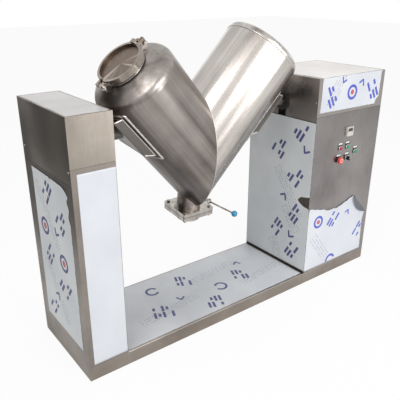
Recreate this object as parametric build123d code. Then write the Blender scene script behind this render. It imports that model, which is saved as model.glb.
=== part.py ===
from build123d import *
import math
import os

# V-blender: a two-armed drum that tumbles on trunnions between two cabinets.
# Millimetres. Origin on the floor under the middle of the base, X right, Y back, Z up.

# Cabinets and base
OVERALL_WIDTH = 1800.0
OVERALL_DEPTH = 470.0
CABINET_TOP = 1120.0
BASE_HEIGHT = 62.0
LEFT_CABINET_WIDTH = 181.0
RIGHT_CABINET_WIDTH = 515.0
SHEET = 2.0
RAIL_WIDTH = 40.0
RAIL_WALL = 3.0
SEAM_GAP = 1.0
FRONT_SEAM_HEIGHT = 931.0
OUTER_SEAM_DROP = 66.0
INNER_SEAM_DROP = 24.0
ANGLE_LEG = 30.0
ANGLE_WALL = 3.0
PORTAL_POST = 50.0
PORTAL_POST_WALL = 4.0
PORTAL_BEAM_WIDTH = 80.0
PORTAL_BEAM_HEIGHT = 60.0
PORTAL_POST_SPACING = 330.0
SCREW_HEAD_RADIUS = 6.0
SCREW_HEAD_HEIGHT = 3.5
SCREW_SHANK_RADIUS = 3.0
SCREW_SHANK_LENGTH = 8.0
INNER_SCREW_RISE = 93.0
OUTER_SCREW_RISE = 52.0
CUT_OVERRUN = 1.0

# Drum: two arms that meet in a V below the trunnion axis
AXIS_HEIGHT = 978.0
DRUM_OFFSET = 532.0
PARK_TILT = 6.0
ARM_ANGLE = 41.0
V_DROP = 163.0
ARM_RADIUS = 187.0
SHELL_WALL = 4.0
LEFT_ARM_LENGTH = 501.0
RIGHT_ARM_LENGTH = 592.0
LEFT_CROWN = 308.0
RIGHT_CROWN = 685.0
SHOULDER_KNUCKLE = 45.0
END_KNUCKLE = 24.0
NECK_RADIUS = 93.0
NECK_RISE = 59.0
NECK_LIP_RADIUS = 98.0
NECK_LIP_HEIGHT = 8.0
OUTLET_RADIUS = 58.0
OUTLET_BOTTOM = 450.0
OUTLET_NECK_TOP = 370.0

# Lid and its clamp band on the left arm
GASKET_HEIGHT = 3.0
GASKET_WIDTH = 12.0
GASKET_INSET = 1.0
LID_RIM_WIDTH = 7.0
LID_RIM_HEIGHT = 12.0
LID_PLATE = 3.0
BAND_WALL = 5.0
BAND_LIP = 6.0
BAND_LIP_HEIGHT = 3.0
BAND_SKIRT = 9.0
BAND_GAP = 0.4
BAND_START = 9.0
BAND_END = 6.0
HINGE_OUT = 31.0
HINGE_PIN_RADIUS = 4.0
PIN_END = 1.0
EAR_LENGTH = 24.0
FORK_WALL = 6.0
EAR_SLOT_START = 3.0
BOLT_RADIUS = 4.0
WING_SPAN = 40.0
FORK_INSIDE = 8.5
FORK_DROP = 14.0
KNUCKLE_RADIUS = 8.0
SIDE_PLAY = 0.4
ARM_THICKNESS = 8.0
LUG_HEIGHT = 4.0
CLAMP_PIN_OUT = 15.0
EYE_WIDTH = 8.0
EYE_RADIUS = 7.0
EYE_PIN_RADIUS = 3.0
EAR_DEPTH = 14.0
EAR_SUNK = 1.0
EAR_HALF_HEIGHT = 9.0
BOLT_OUT = 18.0
BOLT_REACH = 44.0
NUT_LENGTH = 10.0
NUT_RADIUS = 8.0
WING_THICKNESS = 4.0
LINK_TURN = 7.0
LINK_HALF_WIDTH = 4.0

# Outlet valve
VALVE_PLATE = 176.0
VALVE_PLATE_HEIGHT = 18.0
VALVE_PLATE_GAP = 2.0
SEAT_OUTER_RADIUS = 60.0
SEAT_BORE_RADIUS = 50.4
SEAT_FLANGE_RADIUS = 70.0
SEAT_MARGIN = 5.0
DISC_RADIUS = 50.0
DISC_HEIGHT = 5.0
DISC_HUB_RADIUS = 10.0
STEM_RADIUS = 7.0
STEM_BOSS_RADIUS = 17.0
STEM_BOSS_LENGTH = 32.0
SPOUT_RADIUS = 57.0
SPOUT_LENGTH = 32.0
LEVER_LENGTH = 200.0
LEVER_RADIUS = 4.5
LEVER_BALL_RADIUS = 15.0
LEVER_HUB_LENGTH = 16.0
VALVE_BOLT_RADIUS = 5.0
VALVE_BOLT_INSET = 16.0
VALVE_HEAD_RADIUS = 9.0
VALVE_HEAD_HEIGHT = 7.0
VALVE_NUT_HEIGHT = 8.0
VALVE_BOLT_TAIL = 12.0

# Trunnions, bearings and drive
SHAFT_RADIUS = 25.0
SADDLE_HALF_WIDTH = 100.0
SADDLE_FACE = 200.0
SADDLE_LOW = 190.0
SADDLE_LOW_FACE = 262.0
SADDLE_HIGH = 450.0
SADDLE_HIGH_FACE = 478.0
SADDLE_WALL = 6.0
HUB_RADIUS = 40.0
HUB_START = 360.0
HUB_END = 462.0
SHAFT_START = 360.0
SHAFT_CHAMFER = 2.0
BEARING_CENTRE_HEIGHT = 57.2
BEARING_FOOT_LENGTH = 206.0
BEARING_FOOT_WIDTH = 60.0
BEARING_FOOT_HEIGHT = 19.0
BEARING_HOUSING_RADIUS = 50.0
BEARING_BODY_INSET = 6.0
BEARING_BOLT_SPACING = 159.0
BEARING_BOLT_RADIUS = 8.0
BEARING_BOLT_GAP = 0.2
BEARING_HEAD_RADIUS = 14.4
BEARING_HEAD_HEIGHT = 10.0
BEARING_OFFSET_LEFT = 90.0
BEARING_OFFSET_RIGHT = 75.0
INSERT_RADIUS = 42.0
INSERT_WIDTH = 52.0
INSERT_COLLAR = 8.0
RUNNING_GAP = 0.05
GLAND_RADIUS = 44.0
GLAND_THICKNESS = 8.0
SHAFT_HOLE_GAP = 2.0
CHAIN_PITCH = 15.875
TOOTH_HEIGHT = 4.4
TOOTH_GAP_RADIUS = 5.3
HUB_WALL = 14.0
SPROCKET_HUB_LENGTH = 24.0
DRUM_TEETH = 40
DRIVE_TEETH = 17
SPROCKET_WIDTH = 9.0
SPROCKET_OFFSET = 60.0
CHAIN_GAP = 0.6
CHAIN_THICKNESS = 9.0
CHAIN_WIDTH = 18.0
DRIVE_AXIS_HEIGHT = 262.0
DRIVE_SHAFT_RADIUS = 17.5
REDUCER_X_GAP = 36.0
REDUCER_BOSS = 4.0
REDUCER_WIDTH = 130.0
REDUCER_DEPTH = 200.0
REDUCER_HEIGHT = 206.0
WORM_OFFSET = 75.0
MOTOR_RADIUS = 78.0
MOTOR_LENGTH = 230.0
MOTOR_SPIGOT_RADIUS = 64.0
REDUCER_FRONT = 150.0
MOTOR_SPIGOT_HEIGHT = 12.0
FAN_COVER_LENGTH = 60.0
MOTOR_FINS = 24
FIN_DEPTH = 8.0
FIN_THICKNESS = 2.5
STAND_WALL = 6.0
TERMINAL_BOX = 90.0

# Control devices: X of each from the drum side of the cabinet, Z below the front seam
METER_FROM_CORNER = (263.0, 105.0)
STOP_FROM_CORNER = (204.0, 190.0)
START_FROM_CORNER = (262.0, 190.0)
JOG_FROM_CORNER = (331.0, 227.0)
ESTOP_FROM_CORNER = (198.0, 251.0)
SELECTOR_FROM_CORNER = (264.0, 251.0)
DEVICE_HOLE_RADIUS = 11.0
BEZEL_RADIUS = 14.5
BEZEL_HEIGHT = 4.0
CAP_RADIUS = 9.5
CAP_HEIGHT = 5.0
CAP_STEM_RADIUS = 6.0
CAP_GAP = 0.3
CAP_WELL = 14.0
CAP_STEM_END = 21.0
DEVICE_BODY_RADIUS = 10.9
DEVICE_BODY_LENGTH = 44.0
CONTACT_BLOCK = 28.0
ESTOP_HEAD_RADIUS = 18.0
ESTOP_HEAD_HEIGHT = 14.0
ESTOP_TRAVEL = 5.0
SELECTOR_RADIUS = 10.0
SELECTOR_BAR = 7.0
SELECTOR_HEIGHT = 14.0
METER_FACE = 48.0
METER_CUTOUT = 45.0
METER_DEPTH = 60.0
METER_RIM = 6.0
METER_PROUD = 11.0
WINDOW_WELL = 3.0
WINDOW_SUNK = 1.0
LABEL_WIDTH = 30.0
LABEL_HEIGHT = 9.0
LABEL_THICKNESS = 1.0
LABEL_RISE = 20.0
GLAND_THREAD_RADIUS = 10.0
CABLE_BORE_RADIUS = 5.0
CABLE_INLET_HEIGHT = 130.0
GLAND_HEX_RADIUS = 14.0
GLAND_CAP_RADIUS = 11.0

# Places that follow from the sizes above
LEFT_OUTER = -OVERALL_WIDTH / 2
LEFT_INNER = LEFT_OUTER + LEFT_CABINET_WIDTH
RIGHT_OUTER = OVERALL_WIDTH / 2
RIGHT_INNER = RIGHT_OUTER - RIGHT_CABINET_WIDTH
FRONT = -OVERALL_DEPTH / 2
BACK = OVERALL_DEPTH / 2
RAIL_HEIGHT = BASE_HEIGHT - SHEET
OUTER_SEAM_HEIGHT = FRONT_SEAM_HEIGHT - OUTER_SEAM_DROP
INNER_SEAM_HEIGHT = FRONT_SEAM_HEIGHT - INNER_SEAM_DROP
DRUM_X = LEFT_INNER + DRUM_OFFSET
NECK_TOP = LEFT_ARM_LENGTH + NECK_RISE
PORTAL_TOP = AXIS_HEIGHT - BEARING_CENTRE_HEIGHT
LEFT_BEARING_X = LEFT_INNER - BEARING_OFFSET_LEFT
RIGHT_BEARING_X = RIGHT_INNER + BEARING_OFFSET_RIGHT
SPROCKET_X = RIGHT_BEARING_X + SPROCKET_OFFSET
DRUM_SPROCKET_RADIUS = CHAIN_PITCH / 2 / math.sin(math.pi / DRUM_TEETH)
DRIVE_SPROCKET_RADIUS = CHAIN_PITCH / 2 / math.sin(math.pi / DRIVE_TEETH)
GASKET_TOP = NECK_TOP + NECK_LIP_HEIGHT + GASKET_HEIGHT
LID_TOP = GASKET_TOP + LID_RIM_HEIGHT
BAND_INNER = NECK_LIP_RADIUS + BAND_GAP
BAND_OUTER = BAND_INNER + BAND_WALL
BAND_BOTTOM = GASKET_TOP - BAND_SKIRT
HINGE_RADIUS = NECK_LIP_RADIUS + HINGE_OUT
CLAMP_PIN_X = NECK_LIP_RADIUS + CLAMP_PIN_OUT
BOLT_X = BAND_OUTER + BOLT_OUT
BOLT_Z = (BAND_BOTTOM + LID_TOP) / 2
EAR_LOW = BOLT_Z - EAR_HALF_HEIGHT
EAR_HIGH = BOLT_Z + EAR_HALF_HEIGHT
EYE_Y = BAND_OUTER * math.sin(math.radians(BAND_END)) + EAR_DEPTH / 2 - EAR_SUNK
STEM_Z = -(OUTLET_BOTTOM + VALVE_PLATE_HEIGHT + VALVE_PLATE_GAP / 2)
REDUCER_X = SPROCKET_X + REDUCER_X_GAP + REDUCER_WIDTH / 2

# Location of the drum's own frame: its origin is on the trunnion axis above the V
DRUM = Pos(DRUM_X, 0, AXIS_HEIGHT) * Rot(X=PARK_TILT)
LEFT_LOCAL = Pos(0, 0, -V_DROP) * Rot(Y=-ARM_ANGLE)
RIGHT_LOCAL = Pos(0, 0, -V_DROP) * Rot(Y=ARM_ANGLE)
LEFT_ARM = DRUM * LEFT_LOCAL

LOW = (Align.CENTER, Align.CENTER, Align.MIN)
CORNER = (Align.MIN, Align.MIN, Align.MIN)

nodes = {}


def block(low, high):
    """Box between two opposite corners."""
    size = [b - a for a, b in zip(low, high)]
    return Pos(*low) * Box(*size, align=CORNER)


def rod(start, end, radius):
    """Round bar from one point to another."""
    direction = Vector(*end) - Vector(*start)
    plane = Plane(origin=start, z_dir=direction)
    return plane.location * Cylinder(radius, direction.length, align=LOW)


def ring(low, high, inner, outer):
    """Round sleeve about Z between two heights."""
    sleeve = Pos(0, 0, low) * Cylinder(outer, high - low, align=LOW)
    return sleeve - Pos(0, 0, low) * Cylinder(inner, high - low, align=LOW)


def group(solids):
    """Several separate solids kept in one node."""
    return Compound(children=list(solids))


def square_tube(low, high, wall, along):
    """Rectangular tube between two corners, open at both ends along one axis."""
    inner_low = [value + wall for value in low]
    inner_high = [value - wall for value in high]
    inner_low[along] = low[along]
    inner_high[along] = high[along]
    return block(low, high) - block(inner_low, inner_high)


def base_rail(front):
    """Folded rail along the whole width, open towards the middle of the base."""
    y_low = FRONT if front else BACK - RAIL_WIDTH
    outer = block((LEFT_OUTER, y_low, 0), (RIGHT_OUTER, y_low + RAIL_WIDTH, RAIL_HEIGHT))
    shift = RAIL_WALL if front else -RAIL_WALL
    pocket_low = (LEFT_OUTER + RAIL_WALL, y_low + shift, RAIL_WALL)
    pocket_high = (RIGHT_OUTER - RAIL_WALL, y_low + RAIL_WIDTH + shift, RAIL_HEIGHT - RAIL_WALL)
    return outer - block(pocket_low, pocket_high)


def make_base():
    """Rails, cross members and the deck sheet that runs under both cabinets."""
    nodes["base_rail_front"] = base_rail(True)
    nodes["base_rail_rear"] = base_rail(False)
    span = (FRONT + RAIL_WIDTH, BACK - RAIL_WIDTH)
    lefts = [LEFT_OUTER, LEFT_INNER - RAIL_WIDTH / 2, -RAIL_WIDTH / 2,
             RIGHT_INNER - RAIL_WIDTH / 2, RIGHT_OUTER - RAIL_WIDTH]
    nodes["base_cross_members"] = group(
        square_tube([x, span[0], 0], [x + RAIL_WIDTH, span[1], RAIL_HEIGHT], RAIL_WALL, 1)
        for x in lefts
    )
    nodes["platform_deck"] = block((LEFT_OUTER, FRONT, RAIL_HEIGHT),
                                   (RIGHT_OUTER, BACK, BASE_HEIGHT))


def corner_angle(x, y, x_side, y_side, top):
    """Upright angle iron whose corner is at x, y and whose legs point along the two sides."""
    ends = sorted((x, x + x_side * ANGLE_LEG)), sorted((y, y + y_side * ANGLE_LEG))
    outer = block((ends[0][0], ends[1][0], BASE_HEIGHT), (ends[0][1], ends[1][1], top))
    inner_x = sorted((x + x_side * ANGLE_WALL, x + x_side * (ANGLE_LEG + ANGLE_WALL)))
    inner_y = sorted((y + y_side * ANGLE_WALL, y + y_side * (ANGLE_LEG + ANGLE_WALL)))
    return outer - block((inner_x[0], inner_y[0], BASE_HEIGHT), (inner_x[1], inner_y[1], top))


def cabinet(side, x_low, x_high, inner_x, outer_sign):
    """Sheet panels, angle frame and hood of one cabinet.

    inner_x is the wall that faces the drum, outer_sign points away from the drum.
    """
    outer_x = x_high if outer_sign > 0 else x_low
    y_low, y_high = FRONT + SHEET, BACK - SHEET
    panel_top = FRONT_SEAM_HEIGHT - SEAM_GAP
    front = block((x_low, FRONT, BASE_HEIGHT), (x_high, y_low, panel_top))
    nodes[f"{side}_front_panel"] = front
    nodes[f"{side}_back_panel"] = block((x_low, y_high, BASE_HEIGHT), (x_high, BACK, panel_top))
    walls = {"inner": (inner_x, outer_sign, INNER_SEAM_HEIGHT),
             "outer": (outer_x, -outer_sign, OUTER_SEAM_HEIGHT)}
    for name, (x, inward, seam) in walls.items():
        x_ends = sorted((x, x + inward * SHEET))
        wall = block((x_ends[0], y_low, BASE_HEIGHT), (x_ends[1], y_high, seam - SEAM_GAP))
        nodes[f"{side}_{name}_panel"] = wall
    angle_top = CABINET_TOP - SHEET
    angles = [corner_angle(x, y, x_side, y_side, angle_top)
              for x, x_side in ((x_low + SHEET, 1), (x_high - SHEET, -1))
              for y, y_side in ((y_low, 1), (y_high, -1))]
    shell = block((x_low, FRONT, OUTER_SEAM_HEIGHT), (x_high, BACK, CABINET_TOP))
    shell -= block((x_low + SHEET, y_low, OUTER_SEAM_HEIGHT), (x_high - SHEET, y_high, angle_top))
    for y_ends in ((FRONT, y_low), (y_high, BACK)):
        shell -= block((x_low, y_ends[0], OUTER_SEAM_HEIGHT), (x_high, y_ends[1], FRONT_SEAM_HEIGHT))
    inner_ends = sorted((inner_x, inner_x + outer_sign * SHEET))
    shell -= block((inner_ends[0], y_low, OUTER_SEAM_HEIGHT),
                   (inner_ends[1], y_high, INNER_SEAM_HEIGHT))
    slot = SHAFT_RADIUS + SHAFT_HOLE_GAP
    shell -= block((inner_ends[0], -slot, INNER_SEAM_HEIGHT), (inner_ends[1], slot, AXIS_HEIGHT))
    shell -= rod((inner_ends[0], 0, AXIS_HEIGHT), (inner_ends[1], 0, AXIS_HEIGHT), slot)
    nodes[f"{side}_cover"] = shell
    return angles


def shaft_gland(inner_x, outer_sign):
    """Split felt ring that closes the shaft slot on the drum side of a cabinet."""
    outside = inner_x - outer_sign * GLAND_THICKNESS
    disc = rod((outside, 0, AXIS_HEIGHT), (inner_x, 0, AXIS_HEIGHT), GLAND_RADIUS)
    hole = SHAFT_RADIUS + RUNNING_GAP
    return disc - rod((outside, 0, AXIS_HEIGHT), (inner_x, 0, AXIS_HEIGHT), hole)


def portal_post(x, y):
    """Square post that carries one end of a portal beam."""
    half = PORTAL_POST / 2
    low = [x - half, y - half, BASE_HEIGHT]
    high = [x + half, y + half, PORTAL_TOP - PORTAL_BEAM_HEIGHT]
    return square_tube(low, high, PORTAL_POST_WALL, 2)


def portal_beam(x):
    """Beam across two posts, drilled for the pillow block bolts."""
    reach = (PORTAL_POST_SPACING + PORTAL_POST) / 2
    beam = square_tube([x - PORTAL_BEAM_WIDTH / 2, -reach, PORTAL_TOP - PORTAL_BEAM_HEIGHT],
                       [x + PORTAL_BEAM_WIDTH / 2, reach, PORTAL_TOP], PORTAL_POST_WALL, 1)
    for y in (-BEARING_BOLT_SPACING / 2, BEARING_BOLT_SPACING / 2):
        beam -= Pos(x, y, PORTAL_TOP - PORTAL_POST_WALL) * Cylinder(
            BEARING_BOLT_RADIUS, PORTAL_POST_WALL, align=LOW)
    return beam


def pillow_block(x):
    """Cast bearing housing with a foot, a round body and a bored seat for the insert."""
    foot = block((x - BEARING_FOOT_WIDTH / 2, -BEARING_FOOT_LENGTH / 2, PORTAL_TOP),
                 (x + BEARING_FOOT_WIDTH / 2, BEARING_FOOT_LENGTH / 2,
                  PORTAL_TOP + BEARING_FOOT_HEIGHT))
    foot = fillet(foot.edges().filter_by(Axis.Z), BEARING_FOOT_WIDTH / 4)
    half = BEARING_FOOT_WIDTH / 2 - BEARING_BODY_INSET
    body = rod((x - half, 0, AXIS_HEIGHT), (x + half, 0, AXIS_HEIGHT), BEARING_HOUSING_RADIUS)
    web = block((x - half, -BEARING_HOUSING_RADIUS, PORTAL_TOP),
                (x + half, BEARING_HOUSING_RADIUS, AXIS_HEIGHT))
    housing = foot + body + web
    housing -= rod((x - half, 0, AXIS_HEIGHT), (x + half, 0, AXIS_HEIGHT), INSERT_RADIUS)
    for y in (-BEARING_BOLT_SPACING / 2, BEARING_BOLT_SPACING / 2):
        housing -= Pos(x, y, PORTAL_TOP) * Cylinder(
            BEARING_BOLT_RADIUS, BEARING_FOOT_HEIGHT, align=LOW)
    return housing


def bearing_insert(x):
    """Ball bearing insert with its wide inner ring, running on the shaft."""
    half = BEARING_FOOT_WIDTH / 2 - BEARING_BODY_INSET
    outer = rod((x - half, 0, AXIS_HEIGHT), (x + half, 0, AXIS_HEIGHT), INSERT_RADIUS)
    inner = rod((x - INSERT_WIDTH / 2, 0, AXIS_HEIGHT), (x + INSERT_WIDTH / 2, 0, AXIS_HEIGHT),
                INSERT_RADIUS - INSERT_COLLAR)
    bore = rod((x - INSERT_WIDTH, 0, AXIS_HEIGHT), (x + INSERT_WIDTH, 0, AXIS_HEIGHT),
               SHAFT_RADIUS + RUNNING_GAP)
    return outer + inner - bore


def bearing_bolt(x, y):
    """Hexagon bolt through a pillow block foot and the beam's top wall."""
    seat = PORTAL_TOP + BEARING_FOOT_HEIGHT
    head = extrude(RegularPolygon(BEARING_HEAD_RADIUS, 6), BEARING_HEAD_HEIGHT)
    low = PORTAL_TOP - PORTAL_POST_WALL
    shank = Cylinder(BEARING_BOLT_RADIUS - BEARING_BOLT_GAP, seat - low, align=LOW)
    return Pos(x, y, seat) * head + Pos(x, y, low) * shank


def make_bearings():
    """Portals, pillow blocks, inserts and bolts of both trunnions."""
    places = (LEFT_BEARING_X, RIGHT_BEARING_X)
    post_ends = (-PORTAL_POST_SPACING / 2, PORTAL_POST_SPACING / 2)
    bolt_ends = (-BEARING_BOLT_SPACING / 2, BEARING_BOLT_SPACING / 2)
    nodes["portal_posts"] = group(portal_post(x, y) for x in places for y in post_ends)
    nodes["portal_beams"] = group(portal_beam(x) for x in places)
    nodes["pillow_blocks"] = group(pillow_block(x) for x in places)
    nodes["bearing_inserts"] = group(bearing_insert(x) for x in places)
    nodes["bearing_bolts"] = group(bearing_bolt(x, y) for x in places for y in bolt_ends)
    nodes["shaft_glands"] = group((shaft_gland(LEFT_INNER, -1), shaft_gland(RIGHT_INNER, 1)))


def screw(x, y, z, direction):
    """Pan head screw whose head stands on a wall that faces the given way."""
    tip = [c - SCREW_SHANK_LENGTH * d for c, d in zip((x, y, z), direction)]
    top = [c + SCREW_HEAD_HEIGHT * d for c, d in zip((x, y, z), direction)]
    head = rod((x, y, z), top, SCREW_HEAD_RADIUS)
    return head + rod(tip, (x, y, z), SCREW_SHANK_RADIUS)


def drilled(name, places):
    """Cut the clearance hole of each screw in a sheet and in the angles behind it."""
    for x, y, z, direction in places:
        depth = SCREW_SHANK_LENGTH + CUT_OVERRUN
        tip = [c - depth * d for c, d in zip((x, y, z), direction)]
        nodes[name] -= rod(tip, (x, y, z), SCREW_SHANK_RADIUS)


def make_screws():
    """Screws that hold the hoods, and those that hold the panels to the angles."""
    inset = SHEET + ANGLE_LEG / 2
    ends = (FRONT + inset, BACK - inset)
    outer_z = OUTER_SEAM_HEIGHT + OUTER_SCREW_RISE
    inner_z = INNER_SEAM_HEIGHT + INNER_SCREW_RISE
    cover = [(x, y, outer_z, (sign, 0, 0))
             for x, sign in ((LEFT_OUTER, -1), (RIGHT_OUTER, 1)) for y in ends]
    cover += [(x, y, inner_z, (sign, 0, 0))
              for x, sign in ((LEFT_INNER, 1), (RIGHT_INNER, -1)) for y in ends]
    panel = [(x, BACK, z, (0, 1, 0))
             for x in (LEFT_OUTER + inset, LEFT_INNER - inset,
                       RIGHT_INNER + inset, RIGHT_OUTER - inset)
             for z in (BASE_HEIGHT + 2 * inset, FRONT_SEAM_HEIGHT - 2 * inset)]
    for side, is_left in (("left", True), ("right", False)):
        own_cover = [p for p in cover if (p[0] < 0) == is_left]
        own_panel = [p for p in panel if (p[0] < DRUM_X) == is_left]
        drilled(f"{side}_cover", own_cover)
        drilled(f"{side}_back_panel", own_panel)
    drilled("corner_angles", cover + panel)
    nodes["case_screws"] = group(screw(*p) for p in cover + panel)


def cabinets():
    """Both cabinets with their shared set of corner angles."""
    angles = cabinet("left", LEFT_OUTER, LEFT_INNER, LEFT_INNER, -1)
    angles += cabinet("right", RIGHT_INNER, RIGHT_OUTER, RIGHT_INNER, 1)
    nodes["corner_angles"] = group(angles)


def dome_centre(length, crown):
    """Height of the centre of the dome that closes an arm."""
    return length - math.sqrt(crown ** 2 - ARM_RADIUS ** 2)


def arm_body(side, length, crown, inset):
    """One arm in its own frame, grown inwards by inset, with a domed and rounded end.

    The arm is cut at the V's middle plane, which leaves the mitre between the arms.
    """
    radius = ARM_RADIUS - inset
    centre = dome_centre(length, crown)
    edge = centre + math.sqrt((crown - inset) ** 2 - radius ** 2)
    long_end = 2 * ARM_RADIUS
    dome = crown - inset
    middle = math.asin(radius / dome) / 2
    outline = Polyline((0, 0, centre + dome), (0, 0, -long_end),
                       (radius, 0, -long_end), (radius, 0, edge))
    outline += ThreePointArc((radius, 0, edge),
                             (dome * math.sin(middle), 0, centre + dome * math.cos(middle)),
                             (0, 0, centre + dome))
    body = revolve(make_face(outline), Axis.Z)
    rims = body.edges().filter_by(GeomType.CIRCLE)
    rim = rims.sort_by(lambda e: abs(e.center().Z - edge) + abs(e.radius - radius))[0]
    body = fillet(rim, (SHOULDER_KNUCKLE if side < 0 else END_KNUCKLE) - inset)
    placed = Pos(0, 0, -V_DROP) * Rot(Y=side * ARM_ANGLE) * body
    size = 4 * ARM_RADIUS + length
    half = Pos(side * size / 2, 0, 0) * Box(size, size, 2 * size)
    return placed & half


def vessel(inset):
    """Both arms and the outlet neck, as the outside or as the space inside."""
    arms = arm_body(-1, LEFT_ARM_LENGTH, LEFT_CROWN, inset)
    arms += arm_body(1, RIGHT_ARM_LENGTH, RIGHT_CROWN, inset)
    outlet_length = OUTLET_BOTTOM - OUTLET_NECK_TOP
    arms += Pos(0, 0, -OUTLET_BOTTOM) * Cylinder(OUTLET_RADIUS - inset, outlet_length, align=LOW)
    neck = Pos(0, 0, LEFT_ARM_LENGTH) * Cylinder(
        NECK_RADIUS - inset, NECK_TOP + NECK_LIP_HEIGHT - LEFT_ARM_LENGTH, align=LOW)
    arms += LEFT_LOCAL * neck
    return arms


def hinge_fork():
    """Two lugs welded to the neck that hold the lid's hinge pin."""
    fork = None
    for sign in (-1, 1):
        ends = sorted((sign * FORK_INSIDE, sign * (FORK_INSIDE + FORK_WALL)))
        lug = block((NECK_RADIUS - SHELL_WALL, ends[0], BAND_BOTTOM - FORK_DROP),
                    (HINGE_RADIUS, ends[1], BAND_BOTTOM))
        lug += rod((HINGE_RADIUS, ends[0], BAND_BOTTOM), (HINGE_RADIUS, ends[1], BAND_BOTTOM),
                   KNUCKLE_RADIUS)
        fork = lug if fork is None else fork + lug
    reach = FORK_INSIDE + FORK_WALL
    fork -= rod((HINGE_RADIUS, -reach, BAND_BOTTOM), (HINGE_RADIUS, reach, BAND_BOTTOM),
                HINGE_PIN_RADIUS)
    inside = Pos(0, 0, LEFT_ARM_LENGTH) * Cylinder(
        NECK_RADIUS - SHELL_WALL / 2, CABINET_TOP, align=LOW)
    return fork - inside


def make_vessel():
    """Drum shell with its neck lip, outlet and hinge fork, and the lid gasket."""
    lip = ring(NECK_TOP, NECK_TOP + NECK_LIP_HEIGHT, NECK_RADIUS - SHELL_WALL, NECK_LIP_RADIUS)
    outside = vessel(0) + LEFT_LOCAL * lip + LEFT_LOCAL * hinge_fork()
    nodes["vessel_shell"] = DRUM * (outside - vessel(SHELL_WALL))
    gasket = ring(NECK_TOP + NECK_LIP_HEIGHT, GASKET_TOP, NECK_LIP_RADIUS - GASKET_WIDTH,
                  NECK_LIP_RADIUS - GASKET_INSET)
    nodes["lid_gasket"] = LEFT_ARM * gasket
    reach = FORK_INSIDE + FORK_WALL + PIN_END
    nodes["lid_hinge_pin"] = LEFT_ARM * rod((HINGE_RADIUS, -reach, BAND_BOTTOM),
                                            (HINGE_RADIUS, reach, BAND_BOTTOM), HINGE_PIN_RADIUS)


def make_lid():
    """Recessed lid with its rim, its hinge arm and the upright pin of the clamp halves."""
    rim = ring(GASKET_TOP, LID_TOP, NECK_LIP_RADIUS - LID_RIM_WIDTH, NECK_LIP_RADIUS)
    plate = Pos(0, 0, GASKET_TOP) * Cylinder(NECK_LIP_RADIUS - GASKET_INSET, LID_PLATE, align=LOW)
    half = FORK_INSIDE - SIDE_PLAY
    arm = block((NECK_LIP_RADIUS - LID_RIM_WIDTH, -half, LID_TOP - ARM_THICKNESS),
                (HINGE_RADIUS, half, LID_TOP))
    arm += block((HINGE_RADIUS - KNUCKLE_RADIUS, -half, BAND_BOTTOM),
                 (HINGE_RADIUS + KNUCKLE_RADIUS, half, LID_TOP))
    arm += rod((HINGE_RADIUS, -half, BAND_BOTTOM), (HINGE_RADIUS, half, BAND_BOTTOM), KNUCKLE_RADIUS)
    arm -= rod((HINGE_RADIUS, -half, BAND_BOTTOM), (HINGE_RADIUS, half, BAND_BOTTOM),
               HINGE_PIN_RADIUS + RUNNING_GAP)
    pin = Pos(CLAMP_PIN_X, 0, LID_TOP - ARM_THICKNESS) * Cylinder(
        HINGE_PIN_RADIUS, ARM_THICKNESS + 2 * LUG_HEIGHT + 3 * SIDE_PLAY, align=LOW)
    nodes["lid"] = LEFT_ARM * (rim + plate + arm + pin)


def band_half(side):
    """One half of the clamp band: wall, upper lip, hinge lug and outer ear."""
    top = LID_TOP + BAND_GAP + BAND_LIP_HEIGHT
    start, end = BAND_START, 180 - BAND_END
    wall = ring(BAND_BOTTOM, top, BAND_INNER, BAND_OUTER)
    lip = ring(LID_TOP + BAND_GAP, top, BAND_INNER - BAND_LIP, BAND_OUTER)
    reach = 3 * BAND_OUTER
    corners = [(reach * math.cos(math.radians(turn)), reach * math.sin(math.radians(turn)))
               for turn in (start, 60, 120, end)]
    sector = make_face(Polyline((0, 0), *corners, close=True))
    half = (wall + lip) & extrude(sector, CABINET_TOP)
    lug_low = LID_TOP + SIDE_PLAY + (0 if side < 0 else LUG_HEIGHT + SIDE_PLAY)
    lug_high = lug_low + LUG_HEIGHT
    root = math.radians(BAND_START + LINK_TURN)
    root_x, root_y = BAND_OUTER * math.cos(root), BAND_OUTER * math.sin(root)
    link_low, link_high = root_y - LINK_HALF_WIDTH, root_y + LINK_HALF_WIDTH
    link = block((root_x - BAND_WALL, link_low, LID_TOP + BAND_GAP), (root_x, link_high, lug_high))
    link += block((root_x - BAND_WALL, 0, lug_low), (CLAMP_PIN_X, link_high, lug_high))
    link += Pos(CLAMP_PIN_X, 0, lug_low) * Cylinder(KNUCKLE_RADIUS, LUG_HEIGHT, align=LOW)
    link -= Pos(CLAMP_PIN_X, 0, lug_low) * Cylinder(
        HINGE_PIN_RADIUS + RUNNING_GAP, LUG_HEIGHT, align=LOW)
    ear_y = BAND_OUTER * math.sin(math.radians(BAND_END)) - EAR_SUNK
    ear = block((-BAND_OUTER - EAR_LENGTH, ear_y, EAR_LOW), (-BAND_INNER, ear_y + EAR_DEPTH, EAR_HIGH))
    slot = EYE_WIDTH / 2 + BAND_GAP
    ear -= block((-BAND_OUTER - EAR_LENGTH, ear_y, BOLT_Z - slot),
                 (-BAND_OUTER - EAR_SLOT_START, ear_y + EAR_DEPTH, BOLT_Z + slot))
    if side > 0:
        pivot = Pos(-BOLT_X, EYE_Y, EAR_LOW) * Cylinder(EYE_PIN_RADIUS, EAR_HIGH - EAR_LOW, align=LOW)
        ear += pivot
    half += link + ear
    return half if side > 0 else mirror(half, Plane.XZ)


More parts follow.
